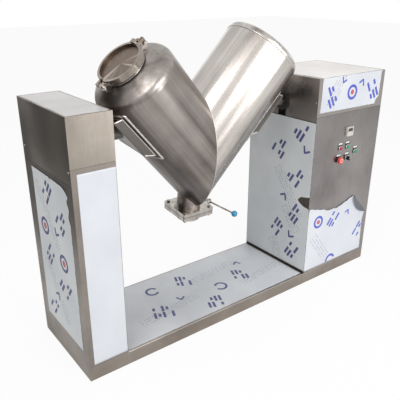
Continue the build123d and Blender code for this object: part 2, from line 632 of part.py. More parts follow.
def make_clamp():
    """Clamp band in two halves, the swing bolt on the rear half and its wing nut."""
    nodes["clamp_band_front"] = LEFT_ARM * band_half(-1)
    nodes["clamp_band_rear"] = LEFT_ARM * band_half(1)
    half = EYE_WIDTH / 2
    eye = Pos(-BOLT_X, EYE_Y, BOLT_Z - half) * Cylinder(EYE_RADIUS, EYE_WIDTH, align=LOW)
    eye += rod((-BOLT_X, EYE_Y, BOLT_Z), (-BOLT_X, -BOLT_REACH, BOLT_Z), BOLT_RADIUS)
    eye -= Pos(-BOLT_X, EYE_Y, BOLT_Z - half) * Cylinder(
        EYE_PIN_RADIUS + RUNNING_GAP, EYE_WIDTH, align=LOW)
    nodes["clamp_bolt"] = LEFT_ARM * eye
    nut_y = -(EYE_Y + EAR_DEPTH / 2 + BAND_GAP)
    nut = rod((-BOLT_X, nut_y, BOLT_Z), (-BOLT_X, nut_y - NUT_LENGTH, BOLT_Z), NUT_RADIUS)
    wing = WING_THICKNESS / 2
    nut += block((-BOLT_X - wing, nut_y - NUT_LENGTH, BOLT_Z - WING_SPAN / 2),
                 (-BOLT_X + wing, nut_y - NUT_LENGTH / 2, BOLT_Z + WING_SPAN / 2))
    nut -= rod((-BOLT_X, nut_y, BOLT_Z), (-BOLT_X, nut_y - NUT_LENGTH, BOLT_Z),
               BOLT_RADIUS + RUNNING_GAP)
    nodes["wing_nut"] = LEFT_ARM * nut


def valve_half(sign):
    """Square half body of the outlet valve: plate, stem boss and seat recess.

    sign is 1 for the upper half that carries the neck and -1 for the lower one with the spout.
    """
    near = STEM_Z + sign * VALVE_PLATE_GAP / 2
    far = near + sign * VALVE_PLATE_HEIGHT
    low, high = sorted((near, far))
    half = VALVE_PLATE / 2
    body = block((-half, -half, low), (half, half, high))
    body = fillet(body.edges().filter_by(Axis.Z), VALVE_BOLT_INSET / 2)
    boss = rod((half - SEAT_MARGIN, 0, STEM_Z), (half + STEM_BOSS_LENGTH, 0, STEM_Z),
               STEM_BOSS_RADIUS)
    body += boss & block((0, -half, low), (2 * half, half, high))
    if sign < 0:
        body += Pos(0, 0, low - SPOUT_LENGTH) * Cylinder(SPOUT_RADIUS, SPOUT_LENGTH, align=LOW)
    bore = OUTLET_RADIUS - SHELL_WALL
    body -= Pos(0, 0, low - 2 * SPOUT_LENGTH) * Cylinder(bore, 4 * SPOUT_LENGTH, align=LOW)
    recess = sorted((near, far - sign * SEAT_MARGIN))
    body -= Pos(0, 0, recess[0]) * Cylinder(SEAT_OUTER_RADIUS, recess[1] - recess[0], align=LOW)
    body -= rod((-half + SEAT_MARGIN, 0, STEM_Z), (2 * half, 0, STEM_Z), STEM_RADIUS + RUNNING_GAP)
    for x, y in valve_bolt_places():
        body -= Pos(x, y, low) * Cylinder(
            VALVE_BOLT_RADIUS + SIDE_PLAY, VALVE_PLATE_HEIGHT, align=LOW)
    return body


def valve_bolt_places():
    """Corner bolt centres on the square valve plates."""
    reach = VALVE_PLATE / 2 - VALVE_BOLT_INSET
    return [(x, y) for x in (-reach, reach) for y in (-reach, reach)]


def valve_bolt(x, y):
    """Hexagon bolt and nut through both valve plates."""
    top = STEM_Z + VALVE_PLATE_GAP / 2 + VALVE_PLATE_HEIGHT
    bottom = STEM_Z - VALVE_PLATE_GAP / 2 - VALVE_PLATE_HEIGHT
    head = extrude(RegularPolygon(VALVE_HEAD_RADIUS, 6), VALVE_HEAD_HEIGHT)
    nut = extrude(RegularPolygon(VALVE_HEAD_RADIUS, 6), VALVE_NUT_HEIGHT)
    end = bottom - VALVE_BOLT_TAIL
    shank = Pos(x, y, end) * Cylinder(VALVE_BOLT_RADIUS, top - end, align=LOW)
    return Pos(x, y, top) * head + shank + Pos(x, y, bottom - VALVE_NUT_HEIGHT) * nut


def make_valve():
    """Butterfly valve on the outlet: two halves, seat, disc, stem, lever and ball."""
    nodes["valve_body_upper"] = DRUM * valve_half(1)
    nodes["valve_body_lower"] = DRUM * valve_half(-1)
    nodes["valve_bolts"] = group(DRUM * valve_bolt(x, y) for x, y in valve_bolt_places())
    reach = VALVE_PLATE_GAP / 2 + VALVE_PLATE_HEIGHT - SEAT_MARGIN
    seat = ring(STEM_Z - reach, STEM_Z + reach, SEAT_BORE_RADIUS, SEAT_OUTER_RADIUS)
    seat += ring(STEM_Z - VALVE_PLATE_GAP / 2, STEM_Z + VALVE_PLATE_GAP / 2,
                 SEAT_BORE_RADIUS, SEAT_FLANGE_RADIUS)
    half = VALVE_PLATE / 2
    seat -= rod((-half, 0, STEM_Z), (half, 0, STEM_Z), STEM_RADIUS + RUNNING_GAP)
    nodes["valve_seat"] = DRUM * seat
    disc = Pos(0, 0, STEM_Z) * Cylinder(DISC_RADIUS, DISC_HEIGHT)
    hub_reach = math.sqrt(DISC_RADIUS ** 2 - DISC_HUB_RADIUS ** 2)
    disc += rod((-hub_reach, 0, STEM_Z), (hub_reach, 0, STEM_Z), DISC_HUB_RADIUS)
    stem_end = half + STEM_BOSS_LENGTH + LEVER_HUB_LENGTH + SIDE_PLAY
    stem = rod((-half + 2 * SEAT_MARGIN, 0, STEM_Z), (stem_end, 0, STEM_Z), STEM_RADIUS)
    nodes["valve_disc"] = DRUM * (disc - stem)
    nodes["valve_stem"] = DRUM * stem
    hub_low = half + STEM_BOSS_LENGTH + SIDE_PLAY
    lever_x = hub_low + LEVER_HUB_LENGTH / 2
    # the lever stands level while the drum is parked with its tilt
    end_y = -LEVER_LENGTH * math.cos(math.radians(PARK_TILT))
    end_z = STEM_Z + LEVER_LENGTH * math.sin(math.radians(PARK_TILT))
    ball = Pos(lever_x, end_y, end_z) * Sphere(LEVER_BALL_RADIUS)
    arm = rod((lever_x, 0, STEM_Z), (lever_x, end_y, end_z), LEVER_RADIUS)
    hub = rod((hub_low, 0, STEM_Z), (hub_low + LEVER_HUB_LENGTH, 0, STEM_Z), 2 * STEM_RADIUS)
    nodes["valve_lever"] = DRUM * (hub + arm - stem)
    nodes["lever_ball"] = DRUM * (ball - arm)


def saddle(side):
    """Welded box that carries a trunnion on the outside of an arm, with its round hub."""
    half = SADDLE_HALF_WIDTH
    inner = ARM_RADIUS - SADDLE_HALF_WIDTH / 2

    def box(wall):
        profile = make_face(Polyline(
            (inner, half - wall, SADDLE_LOW + wall),
            (SADDLE_FACE - wall, half - wall, SADDLE_LOW_FACE + wall),
            (SADDLE_FACE - wall, half - wall, SADDLE_HIGH_FACE - wall),
            (inner, half - wall, SADDLE_HIGH - wall), close=True))
        return extrude(profile, 2 * (half - wall), dir=(0, -1, 0))

    arm = RIGHT_LOCAL if side > 0 else Pos(0, 0, -V_DROP) * Rot(Y=-ARM_ANGLE) * Rot(Z=180)
    long_enough = 4 * RIGHT_ARM_LENGTH
    tube = Cylinder(ARM_RADIUS, long_enough)
    outside = Pos(SADDLE_FACE + ARM_RADIUS - SADDLE_WALL / 2, 0, 0) * Box(
        2 * ARM_RADIUS, 4 * ARM_RADIUS, long_enough)
    hub = rod((side * HUB_START, 0, 0), (side * HUB_END, 0, 0), HUB_RADIUS)
    shaft = rod((0, 0, 0), (side * 2 * HUB_END, 0, 0), SHAFT_RADIUS)
    body = arm * (box(0) - box(SADDLE_WALL)) + (hub & (arm * outside))
    return body - arm * tube - shaft


def trunnion_shaft(side, end_x):
    """Shaft from inside the saddle to its end inside the cabinet."""
    arm = RIGHT_LOCAL if side > 0 else LEFT_LOCAL
    start = side * SHAFT_START
    shaft = rod((start, 0, 0), (end_x - DRUM_X, 0, 0), SHAFT_RADIUS)
    shaft = chamfer(shaft.edges().sort_by(Axis.X)[-1 if side > 0 else 0], SHAFT_CHAMFER)
    return shaft - arm * Cylinder(ARM_RADIUS, 4 * RIGHT_ARM_LENGTH)


def sprocket(x, y, z, teeth, bore):
    """Roller chain sprocket about an axis along X, with its hub on the cabinet's outer side."""
    radius = CHAIN_PITCH / 2 / math.sin(math.pi / teeth)
    plane = Plane(origin=(x - SPROCKET_WIDTH / 2, y, z), z_dir=(1, 0, 0))
    wheel = Cylinder(radius + TOOTH_HEIGHT, SPROCKET_WIDTH, align=LOW)
    gaps = [loc * Cylinder(TOOTH_GAP_RADIUS, SPROCKET_WIDTH, align=LOW)
            for loc in PolarLocations(radius, teeth)]
    wheel -= gaps
    wheel += Cylinder(bore + HUB_WALL, SPROCKET_HUB_LENGTH, align=LOW)
    wheel -= Cylinder(bore, SPROCKET_HUB_LENGTH, align=LOW)
    return plane.location * wheel


def chain_loop():
    """Roller chain round both sprockets, as one band of its outer shape."""
    plane = Plane(origin=(SPROCKET_X - CHAIN_WIDTH / 2, 0, 0), x_dir=(0, 1, 0), z_dir=(1, 0, 0))

    def hull(extra):
        top = Pos(0, AXIS_HEIGHT) * Circle(DRUM_SPROCKET_RADIUS + TOOTH_HEIGHT + extra)
        bottom = Pos(0, DRIVE_AXIS_HEIGHT) * Circle(DRIVE_SPROCKET_RADIUS + TOOTH_HEIGHT + extra)
        return make_hull(top.edges() + bottom.edges())

    band = extrude(hull(CHAIN_GAP + CHAIN_THICKNESS), CHAIN_WIDTH)
    band -= extrude(hull(CHAIN_GAP), CHAIN_WIDTH)
    return plane.location * band


def make_drive():
    """Trunnion shafts, sprockets, chain and the gear motor with its stand."""
    for side, name, end in ((-1, "left", LEFT_BEARING_X - INSERT_WIDTH),
                            (1, "right", SPROCKET_X + SPROCKET_HUB_LENGTH)):
        nodes[f"{name}_trunnion_saddle"] = DRUM * saddle(side)
        nodes[f"{name}_trunnion_shaft"] = DRUM * trunnion_shaft(side, end)
    large = sprocket(SPROCKET_X, 0, 0, DRUM_TEETH, SHAFT_RADIUS)
    nodes["drum_sprocket"] = DRUM * Pos(-DRUM_X, 0, 0) * large
    nodes["drive_sprocket"] = sprocket(
        SPROCKET_X, 0, DRIVE_AXIS_HEIGHT, DRIVE_TEETH, DRIVE_SHAFT_RADIUS)
    nodes["drive_chain"] = chain_loop()
    face = REDUCER_X - REDUCER_WIDTH / 2
    shaft_low = (SPROCKET_X - SPROCKET_WIDTH, 0, DRIVE_AXIS_HEIGHT)
    shaft_high = (REDUCER_X + REDUCER_WIDTH / 4, 0, DRIVE_AXIS_HEIGHT)
    nodes["drive_shaft"] = rod(shaft_low, shaft_high, DRIVE_SHAFT_RADIUS)
    low = DRIVE_AXIS_HEIGHT - REDUCER_HEIGHT / 2
    high = DRIVE_AXIS_HEIGHT + REDUCER_HEIGHT / 2
    y_low = WORM_OFFSET - REDUCER_FRONT
    housing = block((face, y_low, low), (face + REDUCER_WIDTH, y_low + REDUCER_DEPTH, high))
    housing = fillet(housing.edges().filter_by(Axis.X), REDUCER_WIDTH / 6)
    housing += rod((face - REDUCER_BOSS, 0, DRIVE_AXIS_HEIGHT), (face, 0, DRIVE_AXIS_HEIGHT),
                   2 * DRIVE_SHAFT_RADIUS)
    bore = DRIVE_SHAFT_RADIUS + RUNNING_GAP
    housing -= rod((face - REDUCER_BOSS, 0, DRIVE_AXIS_HEIGHT),
                   (REDUCER_X + REDUCER_WIDTH / 3, 0, DRIVE_AXIS_HEIGHT), bore)
    nodes["reducer_housing"] = housing
    motor = Pos(REDUCER_X, WORM_OFFSET, high)
    body = Cylinder(MOTOR_SPIGOT_RADIUS, MOTOR_SPIGOT_HEIGHT, align=LOW)
    core = MOTOR_RADIUS - FIN_DEPTH
    body += Cylinder(core, MOTOR_LENGTH - FAN_COVER_LENGTH, align=LOW)
    fin_length = MOTOR_LENGTH - FAN_COVER_LENGTH - MOTOR_SPIGOT_HEIGHT
    fin = Pos(core, 0, MOTOR_SPIGOT_HEIGHT) * Box(
        2 * FIN_DEPTH, FIN_THICKNESS, fin_length, align=LOW)
    body += [Rot(Z=360 / MOTOR_FINS * k) * fin for k in range(MOTOR_FINS)]
    body += Pos(0, 0, MOTOR_LENGTH - FAN_COVER_LENGTH) * fillet(
        Cylinder(MOTOR_RADIUS, FAN_COVER_LENGTH, align=LOW).edges().group_by(Axis.Z)[-1], FIN_DEPTH)
    body += Pos(0, -MOTOR_RADIUS, MOTOR_LENGTH / 2) * Box(TERMINAL_BOX, TERMINAL_BOX / 2, TERMINAL_BOX)
    nodes["drive_motor"] = motor * body
    rail = REDUCER_WIDTH / 3
    nodes["drive_stand"] = group(
        square_tube([x, y_low, BASE_HEIGHT], [x + rail, y_low + REDUCER_DEPTH, low], STAND_WALL, 1)
        for x in (face, face + REDUCER_WIDTH - rail)
    )


def device_tube(outer, inner, low, high):
    """Sleeve about an axis along Y."""
    return rod((0, low, 0), (0, high, 0), outer) - rod((0, low, 0), (0, high, 0), inner)


def device_body():
    """Threaded barrel through the panel with its contact block behind."""
    barrel = device_tube(DEVICE_BODY_RADIUS, CAP_RADIUS + CAP_GAP, FRONT, FRONT + CAP_WELL)
    core_end = FRONT + DEVICE_BODY_LENGTH
    core = rod((0, FRONT + CAP_WELL, 0), (0, core_end, 0), DEVICE_BODY_RADIUS)
    core -= rod((0, FRONT + CAP_WELL, 0), (0, FRONT + 2 * CAP_WELL, 0),
                CAP_STEM_RADIUS + RUNNING_GAP)
    half = CONTACT_BLOCK / 2
    return barrel + core + block((-half, core_end - half, -half), (half, core_end, half))


def cap(radius, height, neck):
    """Push head with its neck in the bezel and its stem in the barrel."""
    head_back = FRONT - BEZEL_HEIGHT - neck
    head = rod((0, head_back - height, 0), (0, head_back, 0), radius)
    front = head.edges().sort_by(Axis.Y)[0]
    head = fillet(front, height / 4)
    head += rod((0, head_back, 0), (0, FRONT + SHEET, 0), CAP_RADIUS)
    return head + rod((0, FRONT + SHEET, 0), (0, FRONT + CAP_STEM_END, 0), CAP_STEM_RADIUS)


def make_devices():
    """Timer, buttons, emergency stop and selector on the right front panel."""
    meter_place, stop, start, jog, estop, selector = (
        (RIGHT_INNER + across, FRONT_SEAM_HEIGHT - down)
        for across, down in (METER_FROM_CORNER, STOP_FROM_CORNER, START_FROM_CORNER,
                             JOG_FROM_CORNER, ESTOP_FROM_CORNER, SELECTOR_FROM_CORNER)
    )
    places = (stop, start, jog, estop, selector)
    bezel = device_tube(BEZEL_RADIUS, CAP_RADIUS + CAP_GAP, FRONT - BEZEL_HEIGHT, FRONT)
    nodes["device_bezels"] = group(Pos(x, 0, z) * bezel for x, z in places)
    body = device_body()
    nodes["device_bodies"] = group(Pos(x, 0, z) * body for x, z in places)
    for x, z in places:
        hole = rod((x, FRONT, z), (x, FRONT + SHEET, z), DEVICE_HOLE_RADIUS)
        nodes["right_front_panel"] -= hole
    for name, (x, z) in (("stop_button", stop), ("start_button", start), ("jog_button", jog)):
        nodes[name] = Pos(x, 0, z) * cap(CAP_RADIUS, CAP_HEIGHT, 0)
    x, z = estop
    nodes["estop_head"] = Pos(x, 0, z) * cap(ESTOP_HEAD_RADIUS, ESTOP_HEAD_HEIGHT, ESTOP_TRAVEL + 1)
    x, z = selector
    knob = cap(SELECTOR_RADIUS, CAP_HEIGHT, SIDE_PLAY)
    back = FRONT - BEZEL_HEIGHT - SIDE_PLAY - CAP_HEIGHT
    knob += block((-SELECTOR_BAR / 2, back - SELECTOR_HEIGHT, -SELECTOR_RADIUS),
                  (SELECTOR_BAR / 2, back + CAP_HEIGHT / 2, SELECTOR_RADIUS))
    nodes["selector_knob"] = Pos(x, 0, z) * knob
    nodes["label_plates"] = group(
        block((x - LABEL_WIDTH / 2, FRONT - LABEL_THICKNESS, z + LABEL_RISE),
              (x + LABEL_WIDTH / 2, FRONT, z + LABEL_RISE + LABEL_HEIGHT))
        for x, z in places
    )
    x, z = meter_place
    hole = METER_CUTOUT / 2
    cutout = block((x - hole, FRONT, z - hole), (x + hole, FRONT + SHEET, z + hole))
    nodes["right_front_panel"] -= cutout
    face, rim = METER_FACE / 2, METER_FACE / 2 - METER_RIM
    front = FRONT - METER_PROUD
    floor = front + WINDOW_WELL
    meter = block((x - face, front, z - face), (x + face, FRONT, z + face))
    inside = hole - SIDE_PLAY
    meter += block((x - inside, FRONT, z - inside), (x + inside, FRONT + METER_DEPTH, z + inside))
    window = block((x - rim, front, z), (x + rim, floor, z + rim))
    nodes["timer_body"] = meter - window
    nodes["timer_window"] = block((x - rim, front + WINDOW_SUNK, z), (x + rim, floor, z + rim))


def make_cable_gland():
    """Cable gland low on the right outer panel."""
    y, z = OVERALL_DEPTH / 4, CABLE_INLET_HEIGHT
    wall = RIGHT_OUTER - SHEET
    body = rod((wall - 2 * GLAND_THICKNESS, y, z), (RIGHT_OUTER + GLAND_THICKNESS, y, z),
               GLAND_THREAD_RADIUS)
    for start in (wall - GLAND_THICKNESS, RIGHT_OUTER):
        plane = Plane(origin=(start, y, z), z_dir=(1, 0, 0))
        body += plane.location * extrude(RegularPolygon(GLAND_HEX_RADIUS, 6), GLAND_THICKNESS)
    body += rod((RIGHT_OUTER + GLAND_THICKNESS, y, z), (RIGHT_OUTER + 2 * GLAND_THICKNESS, y, z),
                GLAND_CAP_RADIUS)
    bore = rod((wall - 3 * GLAND_THICKNESS, y, z), (RIGHT_OUTER + 3 * GLAND_THICKNESS, y, z),
               CABLE_BORE_RADIUS)
    nodes["cable_gland"] = body - bore
    nodes["right_outer_panel"] -= rod((wall, y, z), (RIGHT_OUTER, y, z), GLAND_THREAD_RADIUS)


def main():
    """Build every node and write one STEP file for each."""
    make_base()
    cabinets()
    make_screws()
    make_bearings()
    make_vessel()
    make_lid()
    make_clamp()
    make_valve()
    make_drive()
    make_devices()
    make_cable_gland()
    os.makedirs("parts", exist_ok=True)
    for name, shape in nodes.items():
        export_step(shape, f"parts/{name}.step")


main()
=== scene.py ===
"""Looks of a V-shaped powder blender: steel, protective film, welds, controls and studio.

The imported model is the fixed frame. Its nodes get their finishes here, and thin pieces that the
solids leave out are added: the protective film on the sheet panels with its print, the weld beads
and saddle pads of the drum, and the label holders, rings and pointer of the controls. Lengths are
metres, and MM turns the millimetres of the film, the labels and the rings into them.
"""
import logging
import math
from dataclasses import dataclass, field
from enum import Enum

import bmesh
import bpy
import numpy as np
from mathutils import Matrix, Vector


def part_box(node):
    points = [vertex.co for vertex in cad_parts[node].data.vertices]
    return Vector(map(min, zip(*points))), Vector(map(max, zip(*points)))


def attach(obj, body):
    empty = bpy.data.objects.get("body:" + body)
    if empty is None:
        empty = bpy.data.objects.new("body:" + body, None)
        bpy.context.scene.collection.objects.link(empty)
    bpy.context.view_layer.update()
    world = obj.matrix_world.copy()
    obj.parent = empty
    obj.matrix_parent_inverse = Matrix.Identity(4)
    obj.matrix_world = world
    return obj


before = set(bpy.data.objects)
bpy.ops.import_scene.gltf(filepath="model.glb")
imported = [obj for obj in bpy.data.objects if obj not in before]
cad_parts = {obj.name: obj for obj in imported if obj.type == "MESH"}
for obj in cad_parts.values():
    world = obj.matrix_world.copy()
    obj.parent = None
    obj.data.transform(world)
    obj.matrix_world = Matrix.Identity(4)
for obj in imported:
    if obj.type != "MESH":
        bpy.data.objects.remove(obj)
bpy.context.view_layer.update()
LOG = logging.getLogger("v_blender")
Tree = bpy.types.NodeTree
Socket = bpy.types.NodeSocket
Node = bpy.types.Node
Piece = bpy.types.Object
Triple = tuple[float, float, float]
MM = 0.001

# Places of the drum and of the cabinets, as the solids have them
DRUM_CENTRE = (-0.187, 0.0, 0.978)
PARK_TILT = 6.0
ARM_ANGLE = 41.0
V_DROP = 0.163
ARM_RADIUS = 0.187
LEFT_ARM_LENGTH = 0.501
RIGHT_ARM_LENGTH = 0.592
LEFT_CROWN = 0.308
NECK_RADIUS = 0.093
OUTLET_RADIUS = 0.058
FRONT = -0.235
DECK = 0.062
LEFT_OUTER_MM = -900
RIGHT_INNER_MM = 385
HOOD_TOP_MM = 1120
FILM_WALL = 0.12 * MM
INK_OVER_MM = 0.28
BEAD_SIDES = 8
BEAD_DEPTH = 0.05
BEAD_END = 0.25
SIDES = {-1: "left", 1: "right"}


class Along(Enum):
    """Direction in which a sheet was brushed."""

    X = (60.0, 1.0, 1.0)
    Z = (1.0, 1.0, 60.0)


class Plane(Enum):
    """Plane of a flat panel: its across, up and outward directions."""

    FRONT = ((1, 0, 0), (0, 0, 1), (0, -1, 0))
    LEFT_FACE = ((0, 1, 0), (0, 0, 1), (-1, 0, 0))
    TOP = ((1, 0, 0), (0, 1, 0), (0, 0, 1))

    def turn_out(self, piece: Piece) -> None:
        """Flip a piece whose grid would face into the panel.

        Args:
            piece: Piece with the grid.
        """
        across, up, out = (Vector(v) for v in self.value)
        if across.cross(up).dot(out) < 0:
            piece.data.flip_normals()


class Ink(Enum):
    """Printing inks of the film, as sRGB hex."""

    BLUE = "#2F41BE"
    INDIGO = "#24186E"
    RED = "#C2403C"
    FAINT = "#6C7488"


def linear(code: str, alpha: float = 1.0) -> tuple[float, float, float, float]:
    """Linear colour of an sRGB hex code.

    Args:
        code: Colour as #RRGGBB.
        alpha: Fourth value of the result.

    Returns:
        Red, green, blue and alpha, linear.
    """
    values = np.array([int(code[i:i + 2], 16) for i in (1, 3, 5)]) / 255
    curve = np.where(values <= 0.04045, values / 12.92, ((values + 0.055) / 1.055) ** 2.4)
    return (*(float(v) for v in curve), alpha)


def add_node(tree: Tree, kind: str, settings: dict | None = None,
             inputs: dict | None = None) -> Node:
    """Add one node with its settings, socket values and links.

    Args:
        tree: Node tree that gets the node.
        kind: Type name of the node.
        settings: Attributes of the node.
        inputs: Socket names or numbers with a value, or with the output that feeds them.

    Returns:
        The new node.
    """
    node = tree.nodes.new(kind)
    for name, value in (settings or {}).items():
        setattr(node, name, value)
    feed(tree, node, inputs or {})
    return node


def feed(tree: Tree, node: Node, inputs: dict) -> None:
    """Set sockets of a node, each to a value or to the output that feeds it.

    Args:
        tree: Node tree of the node.
        node: Node to set.
        inputs: Socket names or numbers with a value or an output.
    """
    for name, value in inputs.items():
        socket = node.inputs[name]
        if isinstance(value, Socket):
            tree.links.new(value, socket)
        else:
            socket.default_value = value


# ---------------------------------------------------------------------------
# Finishes
# ---------------------------------------------------------------------------


@dataclass(frozen=True)
class Finish:
    """A material named for what the real surface is."""

    name: str

    def paint(self, tree: Tree, coords: Socket, shader: Node) -> None:
        """Fill in the shader of this finish.

        Args:
            tree: Node tree that gets the nodes.
            coords: Object coordinates.
            shader: Shader to fill in.
        """
        raise NotImplementedError

    def tint(self, tree: Tree, shader: Node, value: Socket,
             span: tuple[float, float], tones: tuple[str, str], share: float = 1.0) -> None:
        """Blend the base colour from one tone to another where a value crosses a span.

        Args:
            tree: Node tree that gets the nodes.
            shader: Shader whose colour is set.
            value: What the blend follows.
            span: Values at which the blend starts and ends.
            tones: The two colours as sRGB hex.
            share: Share of the second tone at the end of the span.
        """
        ramp = add_node(tree, "ShaderNodeMapRange", inputs={
            "Value": value, "From Min": span[0], "From Max": span[1], "To Max": share})
        colour = add_node(tree, "ShaderNodeMix", {"data_type": "RGBA"}, {
            0: ramp.outputs["Result"], 6: linear(tones[0]), 7: linear(tones[1])})
        feed(tree, shader, {"Base Color": colour.outputs[2]})

    def material(self) -> bpy.types.Material:
        """The material of this finish, made once.

        Returns:
            The material.
        """
        found = bpy.data.materials.get(self.name)
        if found is not None:
            return found
        made = bpy.data.materials.new(self.name)
        made.use_nodes = True
        tree = made.node_tree
        tree.nodes.clear()
        coords = add_node(tree, "ShaderNodeTexCoord").outputs["Object"]
        shader = add_node(tree, "ShaderNodeBsdfPrincipled")
        add_node(tree, "ShaderNodeOutputMaterial", inputs={"Surface": shader.outputs["BSDF"]})
        self.paint(tree, coords, shader)
        return made


@dataclass(frozen=True)
class BrushedSteel(Finish):
    """Stainless steel, ground or brushed in one direction.

    The grain is drawn as lines about a millimetre wide, coarser than the real 0.1 mm so that it
    shows. Wide soft clouds stand for handling and for how thin sheet is never quite flat.
    """

    light: str = "#ADA69F"
    dark: str = "#857F79"
    roughness: float = 0.30
    spread: float = 0.10
    along: Along = Along.Z
    grain: float = 900.0
    cloud: float = 3.2
    relief: float = 0.04
    wave: float = 0.0

    def paint(self, tree: Tree, coords: Socket, shader: Node) -> None:
        """Grain, clouds and slow waves of the sheet.

        Args:
            tree: Node tree that gets the nodes.
            coords: Object coordinates.
            shader: Shader to fill in.
        """
        stretch = tuple(1.0 / v for v in self.along.value)
        lined = add_node(tree, "ShaderNodeMapping", {"vector_type": "POINT"},
                         {"Vector": coords, "Scale": stretch})
        grain = add_node(tree, "ShaderNodeTexNoise", inputs={
            "Vector": lined.outputs["Vector"], "Scale": self.grain, "Detail": 3.0,
            "Roughness": 0.6})
        cloud = add_node(tree, "ShaderNodeTexNoise", inputs={
            "Vector": coords, "Scale": self.cloud, "Detail": 4.0, "Roughness": 0.55})
        tone = add_node(tree, "ShaderNodeMath", {"operation": "MULTIPLY_ADD"}, {
            0: grain.outputs[0], 1: 0.35, 2: cloud.outputs[0]})
        self.tint(tree, shader, tone.outputs[0], (0.45, 0.9), (self.dark, self.light))
        rough = add_node(tree, "ShaderNodeMapRange", inputs={
            "Value": tone.outputs[0], "From Min": 0.45, "From Max": 0.9,
            "To Min": self.roughness + self.spread, "To Max": self.roughness - self.spread / 2})
        fine = add_node(tree, "ShaderNodeBump", inputs={
            "Height": grain.outputs[0], "Strength": self.relief, "Distance": 0.0004})
        normal = fine.outputs["Normal"]
        if self.wave:
            slow = add_node(tree, "ShaderNodeTexNoise", inputs={
                "Vector": coords, "Scale": 2.6, "Detail": 1.0, "Roughness": 0.4})
            bend = add_node(tree, "ShaderNodeBump", inputs={
                "Height": slow.outputs[0], "Strength": 1.0, "Distance": self.wave,
                "Normal": normal})
            normal = bend.outputs["Normal"]
        feed(tree, shader, {"Metallic": 1.0, "Roughness": rough.outputs["Result"],
                            "Normal": normal})


@dataclass(frozen=True)
class RolledShellSteel(Finish):
    """Stainless shell ground along each arm, which shows as long streaks 20 to 60 mm wide.

    The streaks are noise on coordinates turned to the arm and squeezed 25 times along it. The
    arm is picked by the side of the seam's plane. The closed right arm is painted brighter, a
    painted highlight, and the left arm darker, a painted dark reflection; the steel of both arms
    is the same.
    """

    # The light tone carries the painted highlight of the right arm, the dark tone the painted
    # dark reflection of the left arm.
    light: str = "#D6D0CA"
    dark: str = "#6E6661"
    roughness: float = 0.26

    def streaks(self, tree: Tree, coords: Socket, side: int,
                depth: float, level: float) -> Socket:
        """Streak value along one arm.

        Args:
            tree: Node tree that gets the nodes.
            coords: Object coordinates.
            side: -1 for the left arm, 1 for the right one.
            depth: Share of the noise that is kept.
            level: Middle of the value, higher for the painted highlight of the right arm and
                lower
            for the painted dark reflection of the left arm.

        Returns:
            The value, within about 0.2 of its level at full depth.
        """
        place = arm_frame(side)
        turned = add_node(tree, "ShaderNodeMapping", {"vector_type": "TEXTURE"}, {
            "Vector": coords, "Location": tuple(place.translation),
            "Rotation": tuple(place.to_euler()), "Scale": (1.0, 1.0, 25.0)})
        noise = add_node(tree, "ShaderNodeTexNoise", inputs={
            "Vector": turned.outputs["Vector"], "Scale": 17.0, "Detail": 4.0,
            "Roughness": 0.55})
        return add_node(tree, "ShaderNodeMath", {"operation": "MULTIPLY_ADD"}, {
            0: noise.outputs[0], 1: depth, 2: level - depth / 2}).outputs[0]

    def paint(self, tree: Tree, coords: Socket, shader: Node) -> None:
        """Streaks of both arms with a painted highlight on the right arm and a painted dark
        reflection on the left, clouds of handling and fine grain in the normal.

        Args:
            tree: Node tree that gets the nodes.
            coords: Object coordinates.
            shader: Shader to fill in.
        """
        # Painted light: the right arm's higher level paints a highlight, the left arm's lower
        # level a dark reflection; the steel of both arms is the same.
        left = self.streaks(tree, coords, -1, 0.50, 0.36)
        right = self.streaks(tree, coords, 1, 1.0, 0.60)
        split = add_node(tree, "ShaderNodeSeparateXYZ", inputs={"Vector": coords})
        side = add_node(tree, "ShaderNodeMath", {"operation": "GREATER_THAN"}, {
            0: split.outputs["X"], 1: DRUM_CENTRE[0]})
        streak_and_painted_light = add_node(tree, "ShaderNodeMix", {"data_type": "FLOAT"}, {
            0: side.outputs[0], 2: left, 3: right})
        cloud = add_node(tree, "ShaderNodeTexNoise", inputs={
            "Vector": coords, "Scale": 3.0, "Detail": 4.0, "Roughness": 0.55})
        tone = add_node(tree, "ShaderNodeMath", {"operation": "MULTIPLY_ADD"}, {
            0: cloud.outputs[0], 1: 0.35, 2: streak_and_painted_light.outputs[0]})
        self.tint(tree, shader, tone.outputs[0], (0.47, 0.90), (self.dark, self.light))
        rough = add_node(tree, "ShaderNodeMapRange", inputs={
            "Value": tone.outputs[0], "From Min": 0.47, "From Max": 0.90,
            "To Min": self.roughness + 0.1, "To Max": self.roughness - 0.05})
        bump = add_node(tree, "ShaderNodeBump", inputs={
            "Height": streak_and_painted_light.outputs[0], "Strength": 0.25, "Distance": 0.002})
        feed(tree, shader, {"Metallic": 1.0, "Roughness": rough.outputs["Result"],
                            "Normal": bump.outputs["Normal"]})


